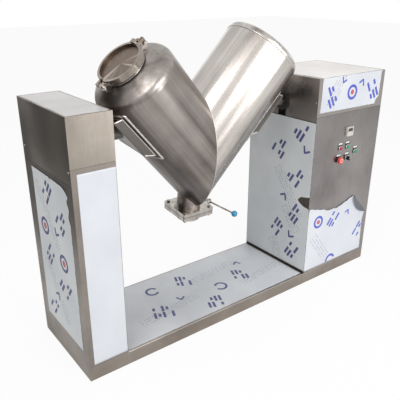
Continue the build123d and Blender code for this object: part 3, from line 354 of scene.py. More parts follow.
@dataclass(frozen=True)
class TurnedSteel(Finish):
    """Stainless lid spun and polished in circles, with a painted highlight star across its fine
    rings.

    The rings are drawn from the distance to the lid's axis, about 1.5 mm apart, and the painted
    highlight star from the angle round it, both on Object coordinates turned to the lid. The star
    stands in for the light that the spun rings would catch.
    """

    centre: Triple = (0.0, 0.0, 0.0)
    turn: Triple = (0.0, 0.0, 0.0)
    # The light tone is the colour of the painted highlight star.
    light: str = "#F2EAE2"
    dark: str = "#7F7166"

    def paint(self, tree: Tree, coords: Socket, shader: Node) -> None:
        """Painted highlight star from the angle, rings from the radius.

        Args:
            tree: Node tree that gets the nodes.
            coords: Object coordinates.
            shader: Shader to fill in.
        """
        placed = add_node(tree, "ShaderNodeMapping", {"vector_type": "TEXTURE"}, {
            "Vector": coords, "Location": self.centre, "Rotation": self.turn})
        flat = add_node(tree, "ShaderNodeVectorMath", {"operation": "MULTIPLY"}, {
            0: placed.outputs["Vector"], 1: (1.0, 1.0, 0.0)})
        radius = add_node(tree, "ShaderNodeVectorMath", {"operation": "LENGTH"}, {
            0: flat.outputs["Vector"]})
        toward = add_node(tree, "ShaderNodeVectorMath", {"operation": "NORMALIZE"}, {
            0: flat.outputs["Vector"]})
        # Painted highlight: noise on the angle round the axis paints a bright star of light on
        # the lid.
        painted_star_highlight = add_node(tree, "ShaderNodeTexNoise", inputs={
            "Vector": toward.outputs["Vector"], "Scale": 2.2, "Detail": 3.0, "Roughness": 0.6})
        ring_place = add_node(tree, "ShaderNodeCombineXYZ", inputs={
            "X": radius.outputs["Value"]})
        rings = add_node(tree, "ShaderNodeTexNoise", inputs={
            "Vector": ring_place.outputs["Vector"], "Scale": 650.0, "Detail": 2.0})
        tone = add_node(tree, "ShaderNodeMath", {"operation": "MULTIPLY_ADD"}, {
            0: rings.outputs[0], 1: 0.25, 2: painted_star_highlight.outputs[0]})
        self.tint(tree, shader, tone.outputs[0], (0.66, 0.82), (self.dark, self.light))
        rough = add_node(tree, "ShaderNodeMapRange", inputs={
            "Value": tone.outputs[0], "From Min": 0.6, "From Max": 0.86, "To Min": 0.40,
            "To Max": 0.2})
        bump = add_node(tree, "ShaderNodeBump", inputs={
            "Height": rings.outputs[0], "Strength": 0.12, "Distance": 0.0005})
        feed(tree, shader, {"Metallic": 1.0, "Roughness": rough.outputs["Result"],
                            "Normal": bump.outputs["Normal"]})


@dataclass(frozen=True)
class ProtectiveFilm(Finish):
    """Polyethylene film, milky, 0.12 mm thick, stuck on the sheet as it left the mill.

    It is smooth with a dull sheen, and its slack shows as soft ripples of 20 to 80 mm.
    """

    light: str = "#E3E7EE"
    dark: str = "#D2D7DF"
    roughness: float = 0.34
    ripple: float = 0.0006

    def paint(self, tree: Tree, coords: Socket, shader: Node) -> None:
        """Milky tone in clouds and ripples in the normal.

        Args:
            tree: Node tree that gets the nodes.
            coords: Object coordinates.
            shader: Shader to fill in.
        """
        cloud = add_node(tree, "ShaderNodeTexNoise", inputs={
            "Vector": coords, "Scale": 4.0, "Detail": 3.0, "Roughness": 0.5})
        self.tint(tree, shader, cloud.outputs[0], (0.3, 0.7), (self.dark, self.light))
        ripple = add_node(tree, "ShaderNodeTexNoise", inputs={
            "Vector": coords, "Scale": 22.0, "Detail": 2.0, "Roughness": 0.45})
        bump = add_node(tree, "ShaderNodeBump", inputs={
            "Height": ripple.outputs[0], "Strength": 0.6, "Distance": self.ripple})
        feed(tree, shader, {"Roughness": self.roughness, "Specular IOR Level": 0.4,
                            "Normal": bump.outputs["Normal"]})


@dataclass(frozen=True)
class FilmInk(Finish):
    """Flexographic ink on film, a little uneven, with specks of about two millimetres."""

    colour: str = "#3947B4"

    def paint(self, tree: Tree, coords: Socket, shader: Node) -> None:
        """Ink that is thinner in specks.

        Args:
            tree: Node tree that gets the nodes.
            coords: Object coordinates.
            shader: Shader to fill in.
        """
        speck = add_node(tree, "ShaderNodeTexNoise", inputs={
            "Vector": coords, "Scale": 420.0, "Detail": 2.0})
        self.tint(tree, shader, speck.outputs[0], (0.35, 0.8), (self.colour, "#C9CCDC"), 0.35)
        feed(tree, shader, {"Roughness": 0.42})


@dataclass(frozen=True)
class Moulded(Finish):
    """Injection moulded plastic with a fine spark-eroded skin.

    The grit is 0.4 mm, drawn at about 0.8 mm so that it shows close up.
    """

    colour: str = "#202020"
    worn: str = "#3A3A3A"
    roughness: float = 0.4
    grit: float = 1200.0
    relief: float = 0.1

    def paint(self, tree: Tree, coords: Socket, shader: Node) -> None:
        """Skin of fine grit and a slightly uneven tone.

        Args:
            tree: Node tree that gets the nodes.
            coords: Object coordinates.
            shader: Shader to fill in.
        """
        grit = add_node(tree, "ShaderNodeTexNoise", inputs={
            "Vector": coords, "Scale": self.grit, "Detail": 2.0})
        cloud = add_node(tree, "ShaderNodeTexNoise", inputs={
            "Vector": coords, "Scale": 60.0, "Detail": 3.0})
        self.tint(tree, shader, cloud.outputs[0], (0.4, 0.75), (self.colour, self.worn))
        rough = add_node(tree, "ShaderNodeMapRange", inputs={
            "Value": cloud.outputs[0], "To Min": self.roughness - 0.08,
            "To Max": self.roughness + 0.1})
        bump = add_node(tree, "ShaderNodeBump", inputs={
            "Height": grit.outputs[0], "Strength": self.relief, "Distance": 0.0003})
        feed(tree, shader, {"Roughness": rough.outputs["Result"],
                            "Normal": bump.outputs["Normal"]})


@dataclass(frozen=True)
class CastPaint(Finish):
    """Sprayed enamel over rough cast iron, with orange peel of 2 to 4 mm."""

    colour: str = "#4A4E52"
    roughness: float = 0.45

    def paint(self, tree: Tree, coords: Socket, shader: Node) -> None:
        """Cast lumps under paint, with dust in the tone.

        Args:
            tree: Node tree that gets the nodes.
            coords: Object coordinates.
            shader: Shader to fill in.
        """
        lump = add_node(tree, "ShaderNodeTexNoise", inputs={
            "Vector": coords, "Scale": 260.0, "Detail": 4.0, "Roughness": 0.6})
        dust = add_node(tree, "ShaderNodeTexNoise", inputs={
            "Vector": coords, "Scale": 18.0, "Detail": 5.0, "Roughness": 0.65})
        self.tint(tree, shader, dust.outputs[0], (0.45, 0.8), (self.colour, "#8A8880"), 0.4)
        bump = add_node(tree, "ShaderNodeBump", inputs={
            "Height": lump.outputs[0], "Strength": 0.35, "Distance": 0.0008})
        feed(tree, shader, {"Roughness": self.roughness, "Normal": bump.outputs["Normal"]})


@dataclass(frozen=True)
class TintedWindow(Finish):
    """Smoked acrylic window, glossy, with fine rubbing marks."""

    colour: str = "#3A3F44"

    def paint(self, tree: Tree, coords: Socket, shader: Node) -> None:
        """Gloss broken by faint marks.

        Args:
            tree: Node tree that gets the nodes.
            coords: Object coordinates.
            shader: Shader to fill in.
        """
        marks = add_node(tree, "ShaderNodeTexNoise", inputs={
            "Vector": coords, "Scale": 300.0, "Detail": 4.0})
        self.tint(tree, shader, marks.outputs[0], (0.5, 0.8), (self.colour, "#6B7075"), 0.3)
        rough = add_node(tree, "ShaderNodeMapRange", inputs={
            "Value": marks.outputs[0], "To Min": 0.08, "To Max": 0.25})
        feed(tree, shader, {"Roughness": rough.outputs["Result"]})


BLACK_NYLON = Moulded("black_nylon", "#1B1C1D", "#2C2D2E", 0.45)
WHITE_LAMINATE = Moulded("white_laminate", "#E6E6E2", "#D5D5CF", 0.35)
WHITE_SILICONE = Moulded("white_silicone", "#DCD9D2", "#C8C4BA", 0.5, 500.0)
ZINC = BrushedSteel("zinc_plated_steel", "#B4B3AC", "#8D8C86", 0.34, 0.1, Along.Z, cloud=30.0)


def wear(finish: Finish, *nodes: str) -> None:
    """Give every material slot of some CAD nodes one finish.

    Args:
        finish: What their surface is.
        nodes: Names of the CAD nodes.
    """
    made = finish.material()
    for node in nodes:
        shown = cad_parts[node]
        if not shown.material_slots:
            shown.data.materials.append(made)
        for place in shown.material_slots:
            place.material = made


# ---------------------------------------------------------------------------
# Shapes
# ---------------------------------------------------------------------------


def xyz(x: np.ndarray | float, y: np.ndarray | float, z: np.ndarray | float) -> np.ndarray:
    """Points from their three coordinates, each a number or an array."""
    return np.stack(np.broadcast_arrays(x, y, z), axis=-1)


def grid_faces(rows: int, columns: int, wrap: bool = False, close: bool = False) -> np.ndarray:
    """Quads between the points of a grid.

    A quad joins point (i, j) with its neighbours at i + 1 and j + 1, and the last row or column
    joins the first where the grid closes on itself.

    Args:
        rows: Points along the first direction.
        columns: Points along the second.
        wrap: Whether the second direction closes on itself.
        close: Whether the first direction closes on itself.

    Returns:
        Array of four point numbers for each quad.
    """
    i, j = np.meshgrid(np.arange(rows if close else rows - 1),
                       np.arange(columns if wrap else columns - 1), indexing="ij")
    next_i, next_j = (i + 1) % rows, (j + 1) % columns
    quads = np.stack([i * columns + j, i * columns + next_j, next_i * columns + next_j,
                      next_i * columns + j], axis=-1)
    return quads.reshape(-1, 4)


def surface(name: str, points: np.ndarray, faces: np.ndarray, finish: Finish, body: str,
            smooth: bool = True, extra: list | None = None) -> Piece:
    """Object made of whole arrays of points and quads, riding on a body.

    Args:
        name: Name of the piece.
        points: Array of places, one row for each point.
        faces: Array of four point numbers for each quad.
        finish: Its material.
        body: Body that carries it.
        smooth: Whether the normals run smoothly across the quads.
        extra: Further polygons, such as caps, as lists of point numbers.

    Returns:
        The new object, at the origin.
    """
    mesh = bpy.data.meshes.new(name)
    polygons = faces.tolist() + (extra or [])
    mesh.from_pydata(points.reshape(-1, 3).tolist(), [], polygons)
    mesh.shade_smooth() if smooth else mesh.shade_flat()
    mesh.update()
    made = bpy.data.objects.new(name, mesh)
    bpy.context.scene.collection.objects.link(made)
    mesh.materials.append(finish.material())
    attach(made, body)
    LOG.info("%s rides on %s, %d faces", name, body, len(polygons))
    return made


def tube_points(path: np.ndarray, radius: np.ndarray, sides: int, closed: bool) -> np.ndarray:
    """Rings of points about a path.

    At each point the ring lies in the plane square to the path, spanned by a steady reference
    direction made square to the tangent and by their cross product. The reference runs from
    near the path's middle, a little off it so that it is never zero.

    Args:
        path: Places along the path, one row each.
        radius: Radius of the ring at each place.
        sides: Points in a ring.
        closed: Whether the path closes on itself.

    Returns:
        Array of rings by sides by three.
    """
    if closed:
        tangent = np.roll(path, -1, axis=0) - np.roll(path, 1, axis=0)
    else:
        tangent = np.gradient(path, axis=0)
    tangent /= np.linalg.norm(tangent, axis=1, keepdims=True)
    reference = path - path.mean(axis=0) + np.array([0.0003, 0.0005, 0.0008])
    reference -= (reference * tangent).sum(axis=1, keepdims=True) * tangent
    reference /= np.linalg.norm(reference, axis=1, keepdims=True)
    other = np.cross(tangent, reference)
    angle = np.linspace(0, 2 * math.pi, sides, endpoint=False)
    ring = (np.cos(angle)[None, :, None] * reference[:, None, :]
            + np.sin(angle)[None, :, None] * other[:, None, :])
    return path[:, None, :] + radius[:, None, None] * ring


def bead(name: str, path: np.ndarray, radius: float, ripple: float, finish: Finish, body: str,
         closed: bool = True) -> None:
    """Weld bead: a low round tube along a seam, rippled as a torch leaves it.

    The radius goes r (1 + d cos(2 pi s / ripple)) with s the length along the seam. An open
    bead grows from a quarter of its width at each end.

    Args:
        name: Name of the piece.
        path: Places along the seam.
        radius: Half width of the bead.
        ripple: Length of one ripple.
        finish: Its material.
        body: Body that carries it.
        closed: Whether the seam closes on itself.
    """
    steps = np.linalg.norm(np.diff(path, axis=0), axis=1)
    run = np.concatenate([[0.0], np.cumsum(steps)])
    radii = radius * (1 + BEAD_DEPTH * np.cos(2 * math.pi * run / ripple))
    caps = []
    if not closed:
        radii *= np.minimum(1.0, np.minimum(run, run[-1] - run) / (3 * radius) + BEAD_END)
        last = (len(path) - 1) * BEAD_SIDES
        caps = [list(range(BEAD_SIDES)), list(range(last + BEAD_SIDES - 1, last - 1, -1))]
    points = tube_points(path, radii, BEAD_SIDES, closed)
    faces = grid_faces(len(path), BEAD_SIDES, wrap=True, close=closed)
    outward(surface(name, points, faces[:, ::-1], finish, body, extra=caps))


def outward(piece: Piece) -> None:
    """Make the normals of a closed piece point outwards.

    Args:
        piece: Piece to turn.
    """
    work = bmesh.new()
    work.from_mesh(piece.data)
    bmesh.ops.recalc_face_normals(work, faces=work.faces[:])
    work.to_mesh(piece.data)
    work.free()
    piece.data.update()


def thicken(piece: Piece, name: str, wall: float, offset: float = -1.0) -> None:
    """Give a sheet a wall by a live modifier.

    Args:
        piece: Sheet to thicken.
        name: Name of the modifier.
        wall: Thickness in metres.
        offset: -1 puts the wall behind the faces, 1 in front of them.
    """
    made = piece.modifiers.new(name, "SOLIDIFY")
    made.thickness = wall
    made.offset = offset


def placed(points: np.ndarray, matrix: Matrix) -> np.ndarray:
    """Points taken from a local frame into the row frame."""
    turn = np.array(matrix.to_3x3())
    return points @ turn.T + np.array(matrix.translation)


def drum_frame() -> Matrix:
    """Frame of the drum: on the trunnion axis, turned by the parking tilt."""
    return Matrix.Translation(DRUM_CENTRE) @ Matrix.Rotation(math.radians(PARK_TILT), 4, "X")


def arm_frame(side: int) -> Matrix:
    """Frame of an arm: its Z runs up the arm from the V's point, side is -1 left, 1 right."""
    return (drum_frame() @ Matrix.Translation((0, 0, -V_DROP))
            @ Matrix.Rotation(math.radians(side * ARM_ANGLE), 4, "Y"))


# ---------------------------------------------------------------------------
# Protective film
# ---------------------------------------------------------------------------


@dataclass(frozen=True)
class Edge:
    """Edge of a film, as breakpoints along the other direction, torn or cut.

    The value at a place is read between the breakpoints, plus a ragged part
    r (sin(a/7) + 0.6 sin(a/3.1 + 1) + 0.35 sin(a/1.3 + 2)) in millimetres.
    """

    points: tuple[tuple[float, float], ...]
    ragged: float = 0.0

    def at(self, place: np.ndarray) -> np.ndarray:
        """Value of the edge, in millimetres, at places in millimetres.

        Args:
            place: Where, in millimetres along the other direction.

        Returns:
            The edge's values, in millimetres.
        """
        where, value = np.array(self.points).T
        steady = np.interp(place, where, value)
        rough = (np.sin(place / 7) + 0.6 * np.sin(place / 3.1 + 1)
                 + 0.35 * np.sin(place / 1.3 + 2))
        return steady + self.ragged * rough


def straight(value: float, ragged: float = 0.0) -> Edge:
    """Edge that keeps one value all along."""
    return Edge(((0, value),), ragged)


@dataclass
class FilmSheet:
    """One sheet of film on a flat panel, in millimetres of the panel's own plane.

    Each point goes z = low + t (high - low), a = left(z) + s (right(z) - left(z)), and it
    stands off the panel by lift + slack waves + curl exp(-(d / reach)^2) near the top edge.
    """

    name: str
    plane: Plane
    offset: float
    left: Edge
    right: Edge
    low: Edge
    high: Edge
    finish: Finish
    curl: float = 0.0
    reach: float = 14.0
    slack: float = 0.0
    columns: int = 120
    rows: int = 90
    lift: float = 0.45
    slot: str = "stainless_panel"

    def normal_lift(self, a: np.ndarray, z: np.ndarray) -> np.ndarray:
        """Height over the panel in millimetres at places of its plane.

        The waves are sin(a/37 + z/90) sin(z/53 - a/160) + 0.5 sin(a/19 - z/31 + 1).

        Args:
            a: Places across the panel, in millimetres.
            z: Places up the panel, in millimetres.

        Returns:
            The heights.
        """
        waves = (np.sin(a / 37 + z / 90) * np.sin(z / 53 - a / 160)
                 + 0.5 * np.sin(a / 19 - z / 31 + 1.0))
        from_top = self.high.at(a) - z
        edge = self.curl * np.exp(-(np.maximum(from_top, 0) / self.reach) ** 2)
        return self.lift + self.slack * (1 + waves) + edge

    def place(self, a: np.ndarray, z: np.ndarray, over: float = 0.0) -> np.ndarray:
        """Places in the row frame, in metres, of places on the film.

        Args:
            a: Places across the panel, in millimetres.
            z: Places up the panel, in millimetres.
            over: Height over the film, in millimetres.

        Returns:
            The places, one row each.
        """
        across, up, out = (np.array(v, float) for v in self.plane.value)
        height = self.normal_lift(a, z) + over
        base = np.abs(out) * self.offset
        return (base + a[..., None] * across + z[..., None] * up
                + height[..., None] * out) * MM

    def covers(self, a: np.ndarray, z: np.ndarray, margin: float = 2.0) -> np.ndarray:
        """Whether places of the panel lie on the film, a margin inside its edges."""
        return ((a > self.left.at(z) + margin) & (a < self.right.at(z) - margin)
                & (z > self.low.at(a) + margin) & (z < self.high.at(a) - margin))

    def build(self) -> None:
        """Make the sheet with its thickness."""
        s, t = np.meshgrid(np.linspace(0, 1, self.columns), np.linspace(0, 1, self.rows),
                           indexing="ij")
        span_low = min(v for _, v in self.left.points)
        span_high = max(v for _, v in self.right.points)
        guess = span_low + s * (span_high - span_low)
        z = self.low.at(guess) + t * (self.high.at(guess) - self.low.at(guess))
        a = self.left.at(z) + s * (self.right.at(z) - self.left.at(z))
        made = surface(self.name, self.place(a, z), grid_faces(self.columns, self.rows),
                       self.finish, "root")
        self.plane.turn_out(made)
        thicken(made, "film_thickness", FILM_WALL, offset=1.0)


def directions(angle: float) -> tuple[np.ndarray, np.ndarray]:
    """Unit vectors along an angle in degrees and square to it.

    Args:
        angle: Angle in degrees.

    Returns:
        Both vectors.
    """
    turn = math.radians(angle)
    along = np.array([math.cos(turn), math.sin(turn)])
    return along, np.array([-along[1], along[0]])


@dataclass
class Print:
    """Marks printed on one film, each a small grid that follows the film.

    A bar is a rectangle of length l and width w turned by an angle, an arc is a ring segment.
    """

    film: FilmSheet
    ink: Ink
    bar_pitch: float = 0.48
    bar_width: float = 0.29
    row_pitch: float = 1.12
    dash_rows: float = 1.5
    dash_width: float = 0.3
    lean: float = 38
    bars: list[tuple[float, float, float, float, float]] = field(default_factory=list)
    arcs: tuple[tuple[float, float, float, float, float, float], ...] = ()

    def group(self, a: float, z: float, angle: float, scale: float, pattern: str) -> None:
        """Add a group of slanted bars.

        Args:
            a: Across the panel, in millimetres.
            z: Up the panel, in millimetres.
            angle: Slant of the bars in degrees.
            scale: Length of a bar in millimetres.
            pattern: One letter for each bar: l long, s short, _ nothing; / starts a row.
        """
        along, beside = directions(angle)
        for row, letters in enumerate(pattern.split("/")):
            for column, letter in enumerate(letters):
                size = {"l": 1.0, "s": 0.55}.get(letter)
                if size is None:
                    continue
                middle = (np.array([a, z]) - beside * column * self.bar_pitch * scale
                          + along * row * self.row_pitch * scale)
                self.bars.append((*middle, size * scale, self.bar_width * scale, angle))

    def dashes(self, a: float, z: float, angle: float, rows: int, count: int,
               pitch: float) -> None:
        """Add rows of fine dashes of five lengths, with every seventh place left empty.

        Args:
            a: Across the panel, in millimetres.
            z: Up the panel, in millimetres.
            angle: Direction of the rows in degrees.
            rows: Number of rows.
            count: Dashes in a row.
            pitch: Distance between dashes in millimetres.
        """
        along, beside = directions(angle)
        for row in range(rows):
            for k in range(count):
                if (3 * k + 5 * row) % 7 == 6:
                    continue
                middle = (np.array([a, z]) + along * k * pitch
                          + beside * row * pitch * self.dash_rows)
                length = pitch * (0.3 + 0.35 * ((k * 7 + row * 3) % 5) / 4)
                self.bars.append((*middle, length, pitch * self.dash_width, angle))

    def chevron(self, a: float, z: float, angle: float, scale: float) -> None:
        """Add an open angle of two strokes, its point along the angle.

        Args:
            a: Across the panel, in millimetres.
            z: Up the panel, in millimetres.
            angle: Direction of the point in degrees.
            scale: Size in millimetres.
        """
        back, length, width = 0.36 * scale, 0.8 * scale, 0.22 * scale
        for slant in (angle - self.lean, angle + self.lean):
            turn = math.radians(slant)
            self.bars.append((a - back * math.cos(turn), z - back * math.sin(turn), length,
                              width, slant))

    def build(self, name: str) -> None:
        """Make all marks as one mesh of small grids on the film.

        Args:
            name: Name of the piece.
        """
        across, along = 5, 3
        u, v = np.meshgrid(np.linspace(-0.5, 0.5, across), np.linspace(-0.5, 0.5, along),
                           indexing="ij")
        patches = []
        for a, z, length, width, angle in self.bars:
            turn = math.radians(angle)
            patches.append((a + u * length * math.cos(turn) - v * width * math.sin(turn),
                            z + u * length * math.sin(turn) + v * width * math.cos(turn)))
        for a, z, radius, width, start, end in self.arcs:
            pieces = 8
            for k in range(pieces):
                low = math.radians(start + (end - start) * k / pieces)
                high = math.radians(start + (end - start) * (k + 1) / pieces)
                angle = low + (u + 0.5) * (high - low)
                ring = radius + v * width
                patches.append((a + ring * np.cos(angle), z + ring * np.sin(angle)))
        wide = np.array([p[0] for p in patches])
        tall = np.array([p[1] for p in patches])
        kept = self.film.covers(wide, tall).all(axis=(1, 2))
        wide, tall = wide[kept], tall[kept]
        points = self.film.place(wide, tall, over=INK_OVER_MM)
        shift = (np.arange(len(wide)) * across * along)[:, None, None]
        faces = (grid_faces(across, along)[None] + shift).reshape(-1, 4)
        finish = FilmInk(f"film_ink_{self.ink.name.lower()}", self.ink.value)
        made = surface(name, points, faces, finish, "root")
        self.film.plane.turn_out(made)


def printed(film: FilmSheet, name: str, ink: Ink, groups: tuple = (), arcs: tuple = (),
            chevrons: tuple = (), dashes: tuple = ()) -> None:
    """Print everything of one colour on a film.

    Args:
        film: Film that carries the print.
        name: Name of the piece.
        ink: Its colour.
        groups: One row of arguments for each group of bars.
        arcs: Middle, radius, width and two angles in degrees of each ring segment.
        chevrons: One row for each open angle.
        dashes: One row for each block of dashes.
    """
    marks = Print(film, ink, arcs=arcs)
    for draw, rows in ((marks.group, groups), (marks.chevron, chevrons),
                       (marks.dashes, dashes)):
        for row in rows:
            draw(*row)
    marks.build(name)


# ---------------------------------------------------------------------------
# Sub-assemblies
# ---------------------------------------------------------------------------


@dataclass
class Base:
    """Rails, cross members and deck sheet, with film left on the deck."""

    rail: Finish = BrushedSteel("base_rail_steel", "#A79E95", "#857C74", 0.34, 0.12, Along.X,
                                wave=0.004)
    deck: Finish = BrushedSteel("deck_steel", "#A8A29B", "#8C857E", 0.3, 0.1, Along.X)
    # The fold and joint beads are painted lighter than the deck steel, partly a painted highlight
    # along the bent edge and the rail joints.
    fold: Finish = BrushedSteel("bent_edge_steel_painted_highlight", "#BDB6AF", "#9B948D", 0.36, 0.08, Along.X)
    between: tuple[float, float] = (-0.7185, 0.3845)
    fold_radius: float = 0.0022
    fold_ripple: float = 5.0
    joint_radius: float = 0.0018
    joint_ripple: float = 0.007

    def dress(self) -> None:
        """Finish the rails and the deck, and lay the deck film."""
        wear(self.rail, "base_rail_front", "base_rail_rear", "base_cross_members")
        wear(self.deck, "platform_deck")
        low, high = self.between
        run = np.linspace(low, high, 300)
        bead("deck_front_fold", xyz(run, FRONT + 0.0012, DECK - 0.0004), self.fold_radius,
             self.fold_ripple, self.fold, "root", closed=False)
        for word, x in zip(SIDES.values(), (low, high)):
            joint = xyz(x, FRONT - 0.0002, np.linspace(0.003, 0.0575, 60))
            bead(f"rail_joint_bead_{word}", joint, self.joint_radius, self.joint_ripple,
                 self.fold, "root", closed=False)
        film = FilmSheet(
            "deck_film", Plane.TOP, DECK * 1000,
            straight(-712, 0.4), straight(377, 0.4),
            straight(-222, 0.5), straight(228, 0.5),
            ProtectiveFilm("deck_film_plastic", "#DADDE1", "#C8CBD0", 0.36), slack=0.15)
        film.build()
        printed(film, "deck_film_marks", Ink.INDIGO,
                groups=((-480, -80, 68, 46, "lsl_l/s_ls"), (-215, -165, 68, 46, "ll_s/_sll"),
                        (-230, 90, 68, 46, "sl_l/lls"), (60, -40, 68, 46, "s_ll/lls")),
                arcs=((-380, 110, 30, 12, 20, 320), (-60, -60, 30, 12, 200, 500)),
                chevrons=((-300, -40, 250, 44), (170, 90, 70, 44)))
        printed(film, "deck_film_dashes", Ink.FAINT,
                dashes=((-560, -120, 8, 3, 30, 12), (-180, 40, 8, 3, 30, 12),
                        (60, -120, 8, 3, 26, 12)))


@dataclass
class LeftCabinet:
    """Narrow bearing cabinet: bare hood, filmed front and outer panels."""

    hood: Finish = BrushedSteel("left_hood_steel", "#B3AAA0", "#857D75", 0.30, 0.12, Along.Z,
                                wave=0.016)
    panel: Finish = BrushedSteel("left_panel_steel", "#A39A92", "#7C756F", 0.32, 0.1, Along.Z,
                                 wave=0.006)

    def dress(self) -> None:
        """Finish the panels and put the film on them."""
        wear(self.hood, "left_cover")
        wear(self.panel, "left_front_panel", "left_back_panel", "left_inner_panel",
             "left_outer_panel")
        FilmSheet(
            "left_front_film", Plane.FRONT, FRONT * 1000,
            straight(-877), straight(-721),
            straight(74), straight(910),
            ProtectiveFilm("front_film_plastic", "#DEE1E6", "#D2D6DC", 0.38, 0.0004),
            slack=0.05).build()
        self.outer_film()
        FilmSheet(
            "left_hood_top_film", Plane.TOP, HOOD_TOP_MM,
            straight(-894, 0.3), Edge(((-235, -727), (235, -729)), 0.3),
            straight(-230, 0.3),
            straight(222, 0.5),
            ProtectiveFilm("dull_hood_film_plastic", "#BFBCBB", "#A6A3A2", 0.24, 0.0022),
            slack=0.35).build()

    def outer_film(self) -> None:
        """Film on the outer panel, torn at its upper front corner, with its print."""
        film = FilmSheet(
            "left_outer_film", Plane.LEFT_FACE, LEFT_OUTER_MM,
            Edge(((120, -187), (700, -190), (730, -176), (760, -189), (790, -172), (812, -188),
                  (836, -158), (850, -128)), 0.9),
            Edge(((120, 176), (850, 158)), 0.3),
            Edge(((-190, 126), (180, 129)), 0.4),
            Edge(((-190, 842), (-60, 846), (-52, 834), (-44, 846), (180, 846)), 0.6),
            ProtectiveFilm("side_film_plastic", "#DCDFE1", "#CBCFD2", 0.36),
            curl=1.6, slack=0.12, columns=140, rows=200)
        film.build()
        printed(film, "left_outer_film_marks", Ink.INDIGO,
                groups=((20, 735, 128, 50, "l_s/lls"), (-110, 640, 128, 46, "ls_l/_sl"),
                        (60, 440, 128, 46, "lls/s_l"), (-80, 330, 128, 50, "s_ll/ls"),
                        (80, 180, 128, 46, "l_l/ss")),
                arcs=((85, 600, 33, 14, 0, 360), (-80, 490, 33, 14, 0, 360)),
                chevrons=((-30, 600, 300, 44), (20, 300, 120, 44)))
        printed(film, "left_outer_film_accents", Ink.RED,
                arcs=((85, 600, 8, 13, 0, 360), (-80, 490, 8, 13, 0, 360)))
        printed(film, "left_outer_film_dashes", Ink.FAINT,
                dashes=((110, 800, 236, 3, 26, 12), (90, 450, 236, 3, 26, 12)))


